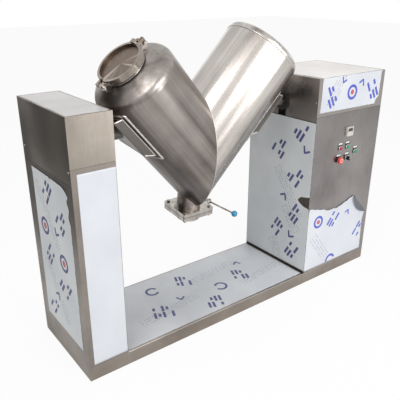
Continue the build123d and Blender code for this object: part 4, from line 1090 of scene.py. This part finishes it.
@dataclass
class RightCabinet:
    """Wide drive cabinet: filmed hood and inner wall, torn film low on the front."""

    hood: Finish = BrushedSteel("right_hood_steel", "#C6C0BB", "#A09A95", 0.26, 0.1, Along.Z,
                                wave=0.012)
    panel: Finish = BrushedSteel("right_panel_steel", "#AEA9A7", "#7D7877", 0.28, 0.1, Along.Z,
                                 cloud=2.4, wave=0.02)
    # Painted shade: the wall towards the drum is the same steel as the other panels, painted
    # darker for the shade and dark reflection between the cabinets.
    inner: Finish = BrushedSteel("right_inner_painted_shade_steel", "#6E6963", "#4E4944", 0.3, 0.1, Along.Z)
    film: Finish = ProtectiveFilm("front_film_plastic", "#DEE1E6", "#D2D6DC", 0.38, 0.0004)
    side: Finish = ProtectiveFilm("side_film_plastic", "#DCDFE1", "#CBCFD2", 0.36)
    flap_line: tuple[tuple[float, float], ...] = ((752.0, 436.0), (866.0, 322.0))
    flap_lift: float = 1.0
    flap_width: float = 34.0
    flap_bent: float = 0.35
    flap_radius: float = 4.0
    flap_rise: float = 3.0

    def dress(self) -> None:
        """Finish the panels and put the film on them."""
        wear(self.hood, "right_cover")
        wear(self.panel, "right_front_panel", "right_back_panel", "right_outer_panel")
        wear(self.inner, "right_inner_panel")
        self.front_film()
        self.inner_film()
        self.hood_film()

    def front_film(self) -> None:
        """Lower film with its torn upper edge, and the flap that folds over it."""
        top = ((385, 447), (412, 440), (470, 424), (507, 416), (538, 401), (560, 404),
               (593, 402), (614, 399), (680, 418), (740, 437), (751, 440), (756, 424),
               (769, 388), (869, 318), (880, 310))
        film = FilmSheet(
            "right_front_film", Plane.FRONT, FRONT * 1000,
            straight(386.5),
            Edge(((66, 869), (110, 868), (228, 862), (260, 861), (290, 868), (318, 869)), 0.5),
            straight(74, 0.3), Edge(top, 1.3), self.film,
            curl=3.5, reach=16.0, slack=0.08, columns=220, rows=110)
        film.build()
        self.flap()
        printed(film, "right_front_film_marks", Ink.BLUE,
                groups=((560, 330, 52, 46, "lls/s_l"), (800, 200, 52, 44, "l_s/ls")),
                arcs=((470, 350, 30, 13, 0, 360), (600, 76, 34, 14, 0, 180)),
                chevrons=((720, 360, 60, 40),))
        printed(film, "right_front_film_accents", Ink.RED,
                arcs=((470, 350, 7, 11, 0, 360),))
        printed(film, "right_front_film_dashes", Ink.FAINT,
                dashes=((420, 250, 308, 4, 18, 11),))

    def flap(self) -> None:
        """Corner of the film folded back over its torn right edge.

        The fold line runs from the peak of the tear down to the right edge. The flap turns
        about it on a half circle: out = r (1 - cos w), back = r sin w, then it runs on level
        and rises a little.
        """
        start, end = (np.array(v) for v in self.flap_line)
        line = end - start
        inward = np.array([-line[1], line[0]]) / np.linalg.norm(line)
        s, w = np.meshgrid(np.linspace(0, 1, 40), np.linspace(0, 1, 24), indexing="ij")
        width = self.flap_width * np.sin(math.pi * np.clip(s * 0.94 + 0.04, 0, 1)) ** 0.7
        bent = self.flap_bent
        bend = np.clip(w / bent, 0, 1) * math.pi
        run = np.clip((w - bent) / (1 - bent), 0, 1)
        back = self.flap_radius * np.sin(bend) - run * width
        out = self.flap_radius * (1 - np.cos(bend)) + run * self.flap_rise + self.flap_lift
        flat = start + s[..., None] * line + back[..., None] * inward
        flat[..., 1] += 0.8 * np.sin(s * 31)
        points = xyz(flat[..., 0], FRONT * 1000 - out, flat[..., 1]) * MM
        made = surface("right_front_flap", points, grid_faces(*s.shape),
                       ProtectiveFilm("film_underside", "#74777E", "#55585F", 0.3), "root")
        thicken(made, "film_thickness", FILM_WALL)

    def inner_film(self) -> None:
        """Film on the wall towards the drum, torn through at the front edge."""
        film = FilmSheet(
            "right_inner_film", Plane.LEFT_FACE, RIGHT_INNER_MM,
            Edge(((66, -234), (440, -234), (446, -229), (450, -196), (462, -168), (476, -152),
                  (486, -160), (499, -176), (506, -212), (512, -233), (905, -234)), 0.5),
            straight(232, 0.3),
            straight(76, 0.3), straight(903, 0.3),
            self.side, slack=0.12, columns=160, rows=220)
        film.build()
        printed(film, "right_inner_film_marks", Ink.INDIGO,
                groups=((-150, 815, 120, 54, "lls/s_l"), (-20, 690, 120, 50, "ls_l/_ls"),
                        (-140, 560, 120, 50, "l_ls/sl"), (-150, 350, 120, 52, "lls/_sl"),
                        (-20, 230, 120, 50, "l_s/sll"), (-140, 130, 120, 50, "sll/l_s")),
                chevrons=((-175, 740, 300, 50), (-60, 480, 120, 50), (-110, 240, 300, 50)))
        printed(film, "right_inner_film_dashes", Ink.FAINT,
                dashes=((-20, 640, 236, 4, 26, 12), (-90, 430, 236, 4, 14, 12),
                        (0, 200, 236, 4, 24, 12)))

    def hood_film(self) -> None:
        """Film over the hood's front, bent over the edge onto its top."""
        front = FilmSheet(
            "right_hood_film", Plane.FRONT, FRONT * 1000,
            Edge(((945, 402), (1000, 407), (1120, 409)), 0.5),
            Edge(((945, 838), (968, 846), (985, 868), (1120, 872)), 0.8),
            Edge(((400, 951), (840, 947), (880, 947)), 0.5), straight(1119.4),
            ProtectiveFilm("hood_front_film_plastic", "#DCDFE4", "#CFD3D9", 0.36, 0.0006),
            slack=0.12, columns=120, rows=60)
        front.build()
        FilmSheet(
            "right_hood_top_film", Plane.TOP, HOOD_TOP_MM,
            Edge(((-235, 408), (235, 395)), 0.3), Edge(((-235, 872), (235, 884)), 0.3),
            straight(-235.4), Edge(((390, 224), (885, 222)), 0.4),
            ProtectiveFilm("hood_film_plastic", "#EAE7E4", "#D5D0CC", 0.24, 0.0022),
            slack=0.4, columns=140, rows=120).build()
        printed(front, "right_hood_film_marks", Ink.BLUE,
                groups=((470, 990, 118, 50, "lls/_ls"), (800, 990, 118, 52, "sll/l_s")),
                arcs=((640, 1030, 32, 14, 0, 360),),
                chevrons=((720, 1085, 62, 44), (560, 1085, 242, 40)))
        printed(front, "right_hood_film_accents", Ink.RED,
                arcs=((640, 1030, 7, 12, 0, 360),))
        printed(front, "right_hood_film_dashes", Ink.FAINT,
                dashes=((500, 965, 62, 4, 15, 12),))


@dataclass
class Drum:
    """Two-armed shell with its saddles, shafts and weld beads."""

    # The drum steel paints the right arm brighter and the left arm darker, as painted highlight
    # and painted dark reflection.
    shell: Finish = RolledShellSteel("drum_steel_painted_light")
    # Painted shade: the saddle steel is painted darker than the shell steel, for the shade on the
    # saddle plates beside the cabinets.
    saddle: Finish = BrushedSteel("saddle_steel_painted_shade", "#77726D", "#57534F", 0.3, 0.1, Along.X)
    shaft: Finish = BrushedSteel("shaft_steel", "#948E88", "#726C66", 0.3, 0.1, Along.X)
    # The weld steel is painted much lighter than the shell steel: ground welds, partly a painted
    # highlight along the seams, rims and saddle corners.
    weld: Finish = BrushedSteel("weld_steel_painted_highlight", "#E0DBD6", "#CBC5BF", 0.26, 0.1, Along.X,
                                cloud=12.0)
    samples: int = 1200
    seam_radius: float = 0.0022
    seam_ripple: float = 0.009
    neck_radius: float = 0.0016
    rim_radius: float = 0.0030
    rim_drop: float = 0.026
    smooth: float = 0.4
    saddle_half: float = 0.1
    saddle_inner: float = 0.137
    saddle_face: float = 0.2
    saddle_inner_span: tuple[float, float] = (0.190, 0.450)
    saddle_face_span: tuple[float, float] = (0.262, 0.478)
    edge_inset: float = 0.0015
    edge_radius: float = 0.0024
    edge_ripple: float = 0.2
    corner_radius: float = 0.0034
    corner_run: float = 0.040
    corner_rises: tuple[float, float] = (-0.047, -0.018)
    foot_radius: float = 0.0030
    foot_ripple: float = 0.03
    pad_margin: float = 0.015
    pad_wall: float = 0.004
    pad_bead_radius: float = 0.0054

    def dress(self) -> None:
        """Finish the solids and lay the beads."""
        wear(self.shell, "vessel_shell")
        wear(self.saddle, "left_trunnion_saddle", "right_trunnion_saddle")
        wear(self.shaft, "left_trunnion_shaft", "right_trunnion_shaft")
        self.seam()
        self.rims()
        for side in SIDES:
            self.saddle_pad(side)
            self.saddle_edges(side)

    def saddle_edges(self, side: int) -> None:
        """Ground welds on the saddle's corners: round its face, and from there to the arm.

        Args:
            side: -1 for the left arm, 1 for the right.
        """
        half, face = self.saddle_half - self.edge_inset, self.saddle_face - self.edge_inset
        low = self.saddle_face_span[0] + self.edge_inset
        high = self.saddle_face_span[1] - self.edge_inset
        word, mirror = SIDES[side], np.array([side, 1, 1])
        up = np.linspace(low, high, 40)
        wide = np.linspace(-half, half, 36)[1:-1]
        loop = np.concatenate([xyz(face, half, up), xyz(face, wide[::-1], high),
                               xyz(face, -half, up[::-1]), xyz(face, wide, low)])
        bead(f"{word}_saddle_face_bead", placed(loop * mirror, arm_frame(side)),
             self.edge_radius, self.edge_ripple, self.saddle, "drum")
        run = np.linspace(0, 1, 16)
        at_low, at_high = self.corner_rises
        for name, y, z, rise in (("a", half, low, at_low), ("b", -half, low, at_low),
                                 ("c", half, high, at_high), ("d", -half, high, at_high)):
            path = xyz(face - self.corner_run * run, y, z + rise * run)
            bead(f"{word}_saddle_corner_bead_{name}", placed(path * mirror, arm_frame(side)),
                 self.corner_radius, self.edge_ripple, self.weld, "drum", closed=False)

    def seam(self) -> None:
        """Bead along the V's seam: y = R sin w, z = -drop - R cos w / sin(angle)."""
        start = math.asin((OUTLET_RADIUS + 0.001) / ARM_RADIUS)
        w = np.linspace(start, 2 * math.pi - start, self.samples)
        slope = math.sin(math.radians(ARM_ANGLE))
        path = xyz(0.0, ARM_RADIUS * np.sin(w), -V_DROP - ARM_RADIUS * np.cos(w) / slope)
        bead("drum_seam_bead", placed(path, drum_frame()), self.seam_radius, self.seam_ripple,
             self.weld, "drum", closed=False)

    def rims(self) -> None:
        """Ground beads round the arms: x = R cos w, y = R sin w at one height of the arm."""
        w = np.linspace(0, 2 * math.pi, self.samples, endpoint=False)
        rises = [("neck_bead", -1, NECK_RADIUS + 0.0005,
                  LEFT_ARM_LENGTH - math.sqrt(LEFT_CROWN ** 2 - ARM_RADIUS ** 2)
                  + math.sqrt(LEFT_CROWN ** 2 - NECK_RADIUS ** 2), self.neck_radius),
                 ("right_end_bead", 1, ARM_RADIUS, RIGHT_ARM_LENGTH - self.rim_drop,
                  self.rim_radius)]
        for name, side, radius, height, thickness in rises:
            path = xyz(radius * np.cos(w), radius * np.sin(w), height)
            bead(name, placed(path, arm_frame(side)), thickness, self.smooth, self.weld, "drum")

    def saddle_ends(self, x: np.ndarray, margin: float) -> tuple[np.ndarray, np.ndarray]:
        """Heights z = z0 + k (x - x0) at which a saddle's two slanted ends meet the arm.

        Args:
            x: Distances from the arm's axis towards the saddle's face.
            margin: Distance outside the saddle.

        Returns:
            Heights of the lower and the upper end.
        """
        share = (x - self.saddle_inner) / (self.saddle_face - self.saddle_inner)
        low, high = (near + share * (far - near) for near, far in
                     zip(self.saddle_inner_span, self.saddle_face_span))
        return low - margin, high + margin

    def saddle_loop(self, side: int, margin: float, lift: float) -> np.ndarray:
        """Line on the arm round a saddle.

        Along each long side x = R cos w0 and y = R sin w0 stay, and each end follows the
        saddle's slanted plate round the arm.

        Args:
            side: -1 for the left arm, 1 for the right.
            margin: Distance outside the saddle.
            lift: Height above the arm.

        Returns:
            Closed line of points in the row frame.
        """
        radius = ARM_RADIUS + lift
        turn = math.asin(self.saddle_half / radius) + margin / radius
        w = np.linspace(-turn, turn, 60)
        x, y = radius * np.cos(w), radius * np.sin(w)
        low, high = self.saddle_ends(x, margin)
        up = np.linspace(low[-1], high[-1], 90)[1:-1]
        loop = np.concatenate([xyz(x, y, low), xyz(x[-1], y[-1], up), xyz(x, y, high)[::-1],
                               xyz(x[-1], -y[-1], up)[::-1]])
        return placed(loop * np.array([side, side, 1]), arm_frame(side))

    def saddle_pad(self, side: int) -> None:
        """Doubler plate bent round the arm under a saddle, welded on all round.

        x = (R + t) cos w, y = (R + t) sin w, and on the plate's border the wall goes down
        to the arm.

        Args:
            side: -1 for the left arm, 1 for the right.
        """
        word = SIDES[side]
        turn = math.asin(self.saddle_half / ARM_RADIUS) + self.pad_margin / ARM_RADIUS
        w = np.pad(np.linspace(-turn, turn, 60), 1, mode="edge")
        v = np.pad(np.linspace(1, 0, 40), 1, mode="edge")
        w, v = np.meshgrid(w, v, indexing="ij")
        border = np.ones_like(w)
        border[1:-1, 1:-1] = 0
        low, high = self.saddle_ends(ARM_RADIUS * np.cos(w), self.pad_margin)
        radius = ARM_RADIUS + self.pad_wall - (self.pad_wall + 0.001) * border
        points = xyz(radius * np.cos(w), radius * np.sin(w), low + (high - low) * v)
        points *= np.array([side, side, 1])
        surface(f"{word}_saddle_pad", placed(points.reshape(-1, 3), arm_frame(side)),
                grid_faces(*w.shape), self.saddle, "drum",
                smooth=False)
        bead(f"{word}_saddle_bead", self.saddle_loop(side, 0.0, self.pad_wall),
             self.foot_radius, self.foot_ripple, self.weld, "drum")
        bead(f"{word}_pad_bead", self.saddle_loop(side, self.pad_margin, 0.0),
             self.pad_bead_radius, self.foot_ripple, self.weld, "drum")


@dataclass
class LoadingPort:
    """Lid with its gasket, clamp band, swing bolt and wing nut."""

    bright: Finish = BrushedSteel("polished_steel", "#CFCAC5", "#A9A39D", 0.17, 0.08, Along.X,
                                  cloud=14.0)
    rolled: Finish = BrushedSteel("band_steel", "#B3AAA1", "#80766C", 0.15, 0.06, Along.X,
                                  cloud=9.0)
    lid_height: float = 0.571

    def dress(self) -> None:
        """Finish the lid and its clamp."""
        turn = arm_frame(-1).to_euler()
        centre = arm_frame(-1) @ Vector((0, 0, self.lid_height))
        # The lid's finish paints a highlight star into its colour.
        wear(TurnedSteel("lid_spun_steel_painted_star", tuple(centre), tuple(turn)), "lid")
        wear(self.rolled, "clamp_band_front", "clamp_band_rear")
        wear(self.bright, "clamp_bolt", "wing_nut", "lid_hinge_pin")
        wear(WHITE_SILICONE, "lid_gasket")


@dataclass
class OutletValve:
    """Square butterfly valve with its lever and blue ball."""

    body: Finish = BrushedSteel("valve_steel", "#D8D2CC", "#8F8882", 0.2, 0.1, Along.X,
                                cloud=16.0)

    def dress(self) -> None:
        """Finish the valve."""
        wear(self.body, "valve_body_upper", "valve_body_lower", "valve_disc", "valve_stem",
             "valve_lever")
        wear(WHITE_SILICONE, "valve_seat")
        wear(ZINC, "valve_bolts")
        wear(Moulded("blue_phenolic", "#2F86B5", "#3F93BF", 0.16, 800.0, 0.03), "lever_ball")


@dataclass
class Drive:
    """Bearings, portals, chain drive and gear motor inside the cabinets."""

    primer: Finish = CastPaint("grey_primer", "#6A6C6C", 0.55)
    cast: Finish = CastPaint("cast_iron_enamel", "#45494C", 0.42)

    def dress(self) -> None:
        """Finish the inner steelwork and the drive."""
        wear(self.primer, "portal_posts", "portal_beams", "corner_angles", "drive_stand")
        wear(self.cast, "pillow_blocks", "reducer_housing")
        wear(CastPaint("motor_enamel", "#35556E", 0.4), "drive_motor")
        wear(BrushedSteel("oiled_chain_steel", "#6B6863", "#4B4844", 0.36, 0.12, Along.X,
                          cloud=60.0),
             "drum_sprocket", "drive_sprocket", "drive_chain", "drive_shaft")
        wear(BrushedSteel("ground_steel", "#B9B5B0", "#96918C", 0.2, 0.08, Along.X),
             "bearing_inserts")
        wear(ZINC, "bearing_bolts", "case_screws")
        wear(Moulded("black_rubber", "#1C1C1C", "#2E2D2B", 0.6, 700.0), "shaft_glands")
        wear(BLACK_NYLON, "cable_gland")


@dataclass
class ControlPanel:
    """Timer, push buttons, emergency stop and selector on the drive cabinet."""

    pointer: float = 0.6 * MM
    pointer_half: float = 1.1 * MM
    pointer_start: float = 1.0 * MM
    pointer_length: float = 7.5 * MM
    head_ring: Triple = (9.5, 1.6, 0.6)
    bezel_ring: Triple = (12.2, 2.0, 1.3)
    holder_half: tuple[float, float] = (19.0, 9.6)
    holder_power: float = 5.0
    holder_places: tuple[tuple[float, float], ...] = ((589, 762), (647, 762), (716, 725),
                                                      (583, 701), (649, 701))

    def dress(self) -> None:
        """Finish the devices and add the selector's pointer line."""
        wear(Moulded("cream_abs", "#CFCBC4", "#BDB8B0", 0.42), "timer_body")
        wear(TintedWindow("smoked_window"), "timer_window")
        wear(BLACK_NYLON, "device_bezels", "device_bodies", "selector_knob")
        wear(Moulded("red_abs", "#B3202C", "#C03541", 0.22, 900.0, 0.03), "stop_button")
        wear(Moulded("bright_red_abs", "#D8403C", "#E5625A", 0.24, 900.0, 0.03), "estop_head")
        wear(Moulded("green_abs", "#128A58", "#2C9A6B", 0.22, 900.0, 0.03),
             "start_button", "jog_button")
        wear(WHITE_LAMINATE, "label_plates")
        self.label_holders()
        self.rings()
        self.pointer_line()

    def pointer_line(self) -> None:
        """Pale line on the selector's knob that narrows by 1 - 0.4 t^4 towards its end."""
        low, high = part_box("selector_knob")
        middle = (low + high) / 2
        s, t = np.meshgrid(np.linspace(-1, 1, 9), np.linspace(0, 1, 13), indexing="ij")
        width = self.pointer_half * (1 - 0.4 * t ** 4)
        points = xyz(middle.x + s * width, low.y - self.pointer / 2,
                     middle.z + self.pointer_start + t * self.pointer_length)
        made = surface("selector_pointer", points, grid_faces(*s.shape), WHITE_LAMINATE,
                       "selector")
        thicken(made, "inlay_thickness", self.pointer)

    def label_holders(self) -> None:
        """Black holders behind the label plates: a rounded outline stepped out and bevelled.

        The outline is the superellipse x = a sgn(cos w) |cos w|^(2/n) and z alike, n = 5, run
        through the outward steps of a bevelled edge.
        """
        w = np.linspace(0, 2 * math.pi, 49)[:-1]
        power = 2 / self.holder_power
        half_width, half_height = self.holder_half
        x = np.sign(np.cos(w)) * np.abs(np.cos(w)) ** power
        z = np.sign(np.sin(w)) * np.abs(np.sin(w)) ** power
        steps = np.array([(0.0, 0.0), (1.0, 0.0), (1.0, 0.4), (0.96, 0.7), (0.0, 0.7)])
        grow, out = steps[:, :1], steps[:, 1:]
        for number, (centre_x, centre_z) in enumerate(self.holder_places):
            points = xyz(centre_x + grow * x * half_width, FRONT * 1000 - out,
                         centre_z + grow * z * half_height) * MM
            outward(surface(f"label_holder_{number + 1}", points,
                            grid_faces(len(steps), len(w), wrap=True), BLACK_NYLON, "root",
                            smooth=False))

    def ring(self, name: str, node: str, front: float, size: Triple,
             finish: Finish, body: str, slot: str) -> None:
        """Flattened torus, R + r cos v round the device's axis and d sin v along it.

        Args:
            name: Name of the ring.
            node: Device whose middle it takes.
            front: Y of the face that it lies on.
            size: R, r and d in mm.
            finish: Its material.
            body: Body that carries it.
            slot: Material slot of the record; not used.
        """
        low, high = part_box(node)
        middle = (low + high) / 2
        around, across = 64, 12
        u, v = np.meshgrid(np.linspace(0, 2 * math.pi, around, endpoint=False),
                           np.linspace(0, 2 * math.pi, across, endpoint=False), indexing="ij")
        wide = (size[0] + size[1] * np.cos(v)) * MM
        points = xyz(middle.x + wide * np.cos(u), front - size[2] * MM * np.sin(v),
                     middle.z + wide * np.sin(u))
        outward(surface(name, points, grid_faces(around, across, wrap=True, close=True), finish,
                        body))

    def rings(self) -> None:
        """Pale ring let into the emergency stop's head, bright ones on the other bezels."""
        self.ring("estop_ring", "estop_head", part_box("estop_head")[0].y, self.head_ring,
                  Moulded("pale_laminate", "#EBD9D6", "#DCC8C4", 0.35), "estop", "white_label")
        bright = BrushedSteel("bezel_chrome", "#E4E4E3", "#D2D2D1", 0.16, 0.02, Along.X)
        for node in ("stop_button", "start_button", "jog_button", "selector_knob"):
            self.ring(f"{node}_ring", node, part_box("device_bezels")[0].y, self.bezel_ring,
                      bright, "root", "stainless_bright")


# ---------------------------------------------------------------------------
# Studio
# ---------------------------------------------------------------------------


@dataclass
class Studio:
    """Pale floor, soft lamps, white world and the camera of the reference view."""

    camera_place: Triple = (-1.5734, -1.8773, 1.5275)
    right: Triple = (0.7973, -0.6037, 0.0)
    up: Triple = (0.2301, 0.3038, 0.9246)
    lens: float = 46.73
    sensor: float = 36.0
    far: float = 100.0
    ambient: float = 0.48
    floor_reach: float = 20.0
    floor_seen: float = 0.92
    floor_mirrored: float = 0.25

    def build(self) -> None:
        """Make world, floor, lamps and camera."""
        self.world()
        self.floor()
        self.lamp("key_softbox", (0.2, -4.3, 3.2), (0.0, 0.0, 0.8), (3.0, 2.0), 84.0)
        self.lamp("front_softbox", (1.5, -3.7, 1.1), (0.2, 0.0, 0.9), (1.6, 1.6), 28.0)
        self.lamp("high_softbox", (-2.3, -1.1, 3.3), (-0.3, 0.0, 1.0), (1.5, 1.5), 30.0)
        fill = self.lamp("top_fill", (-0.1, 0.2, 4.0), (-0.1, 0.0, 0.9), (2.4, 1.6), 26.0)
        fill.visible_glossy = False
        self.flag()
        self.camera()

    def world(self) -> None:
        """White where it is seen, softer where it lights."""
        world = bpy.data.worlds.new("studio_world")
        bpy.context.scene.world = world
        world.use_nodes = True
        tree = world.node_tree
        tree.nodes.clear()
        path = add_node(tree, "ShaderNodeLightPath")
        seen = add_node(tree, "ShaderNodeMath", {"operation": "MAXIMUM"}, {
            0: path.outputs["Is Camera Ray"], 1: path.outputs["Is Glossy Ray"]})
        seen = add_node(tree, "ShaderNodeMath", {"operation": "MAXIMUM"}, {
            0: seen.outputs[0], 1: path.outputs["Is Transmission Ray"]})
        strength = add_node(tree, "ShaderNodeMapRange", inputs={
            "Value": seen.outputs[0], "To Min": self.ambient, "To Max": 1.0})
        back = add_node(tree, "ShaderNodeBackground", inputs={
            "Color": linear("#FFFFFF"), "Strength": strength.outputs["Result"]})
        add_node(tree, "ShaderNodeOutputWorld", inputs={"Surface": back.outputs[0]})

    def card(self, name: str, paint: str, corners: list[Triple]
             ) -> tuple[Piece, Tree]:
        """Make one flat four-sided piece of the stage with an empty material.

        Args:
            name: Name of the piece.
            paint: Name of its material.
            corners: Its four corners in order.

        Returns:
            The piece and the node tree to fill.
        """
        mesh = bpy.data.meshes.new(name)
        mesh.from_pydata(corners, [], [(0, 1, 2, 3)])
        piece = bpy.data.objects.new(name, mesh)
        bpy.context.scene.collection.objects.link(piece)
        made = bpy.data.materials.new(paint)
        made.use_nodes = True
        made.node_tree.nodes.clear()
        mesh.materials.append(made)
        return piece, made.node_tree

    def floor(self) -> None:
        """Wide pale floor that keeps the shadow of the machine."""
        reach = self.floor_reach
        floor, tree = self.card("studio_floor", "studio_floor_paint", [
            (-reach, -reach, 0), (reach, -reach, 0), (reach, reach, 0), (-reach, reach, 0)])
        path = add_node(tree, "ShaderNodeLightPath")
        mirrored = add_node(tree, "ShaderNodeMath", {"operation": "MULTIPLY"}, {
            0: path.outputs["Is Glossy Ray"], 1: self.floor_mirrored})
        share = add_node(tree, "ShaderNodeMath", {"operation": "MULTIPLY_ADD"}, {
            0: path.outputs["Is Camera Ray"], 1: self.floor_seen, 2: mirrored.outputs[0]})
        paint = add_node(tree, "ShaderNodeBsdfDiffuse", inputs={"Color": linear("#F2F2F2")})
        white = add_node(tree, "ShaderNodeEmission", inputs={"Color": linear("#FFFFFF")})
        mixed = add_node(tree, "ShaderNodeMixShader", inputs={
            0: share.outputs[0], 1: paint.outputs[0], 2: white.outputs[0]})
        add_node(tree, "ShaderNodeOutputMaterial", inputs={"Surface": mixed.outputs[0]})

    def flag(self) -> None:
        """Dark card at the left that only mirrors in the steel and darkens that side."""
        card, tree = self.card("left_flag", "black_card", [
            (-1.35, 0.1, 0.0), (-1.75, 3.2, 0.0), (-1.75, 3.2, 2.4), (-1.35, 0.1, 2.4)])
        felt = add_node(tree, "ShaderNodeBsdfDiffuse", inputs={"Color": linear("#2B2826")})
        add_node(tree, "ShaderNodeOutputMaterial", inputs={"Surface": felt.outputs[0]})
        card.visible_camera = False
        card.visible_diffuse = False
        card.visible_shadow = False

    def lamp(self, name: str, place: Triple,
             target: Triple, size: tuple[float, float],
             power: float) -> Piece:
        """Add one soft rectangular lamp that points at a target.

        Args:
            name: Name of the lamp.
            place: Where it stands.
            target: Where it points.
            size: Width and height.
            power: Power in watts.

        Returns:
            The lamp.
        """
        data = bpy.data.lights.new(name, "AREA")
        data.shape = "RECTANGLE"
        data.size, data.size_y = size
        data.energy = power
        lamp = bpy.data.objects.new(name, data)
        bpy.context.scene.collection.objects.link(lamp)
        lamp.location = place
        aim = Vector(target) - Vector(place)
        lamp.rotation_euler = aim.to_track_quat("-Z", "Y").to_euler()
        return lamp

    def camera(self) -> None:
        """Camera at the reference view."""
        data = bpy.data.cameras.new("reference_camera")
        data.lens = self.lens
        data.sensor_width = self.sensor
        data.clip_end = self.far
        camera = bpy.data.objects.new("reference_camera", data)
        bpy.context.scene.collection.objects.link(camera)
        right, up = Vector(self.right).normalized(), Vector(self.up).normalized()
        back = right.cross(up)
        turn = Matrix((right, up, back)).transposed().to_4x4()
        camera.matrix_world = Matrix.Translation(self.camera_place) @ turn
        bpy.context.scene.camera = camera


def main() -> None:
    """Build the studio and every sub-assembly, logging each piece as it is made and each part as
    it is dressed.
    """
    logging.basicConfig(level=logging.INFO, format="%(name)s: %(message)s")
    bpy.context.scene.view_settings.view_transform = "Standard"
    Studio().build()
    parts: list[object] = [Base(), LeftCabinet(), RightCabinet(), Drum(), LoadingPort(),
                           OutletValve(), Drive(), ControlPanel()]
    for part in parts:
        part.dress()
        LOG.info("dressed %s", type(part).__name__)
    bpy.context.view_layer.update()


if __name__ == "__main__":
    main()
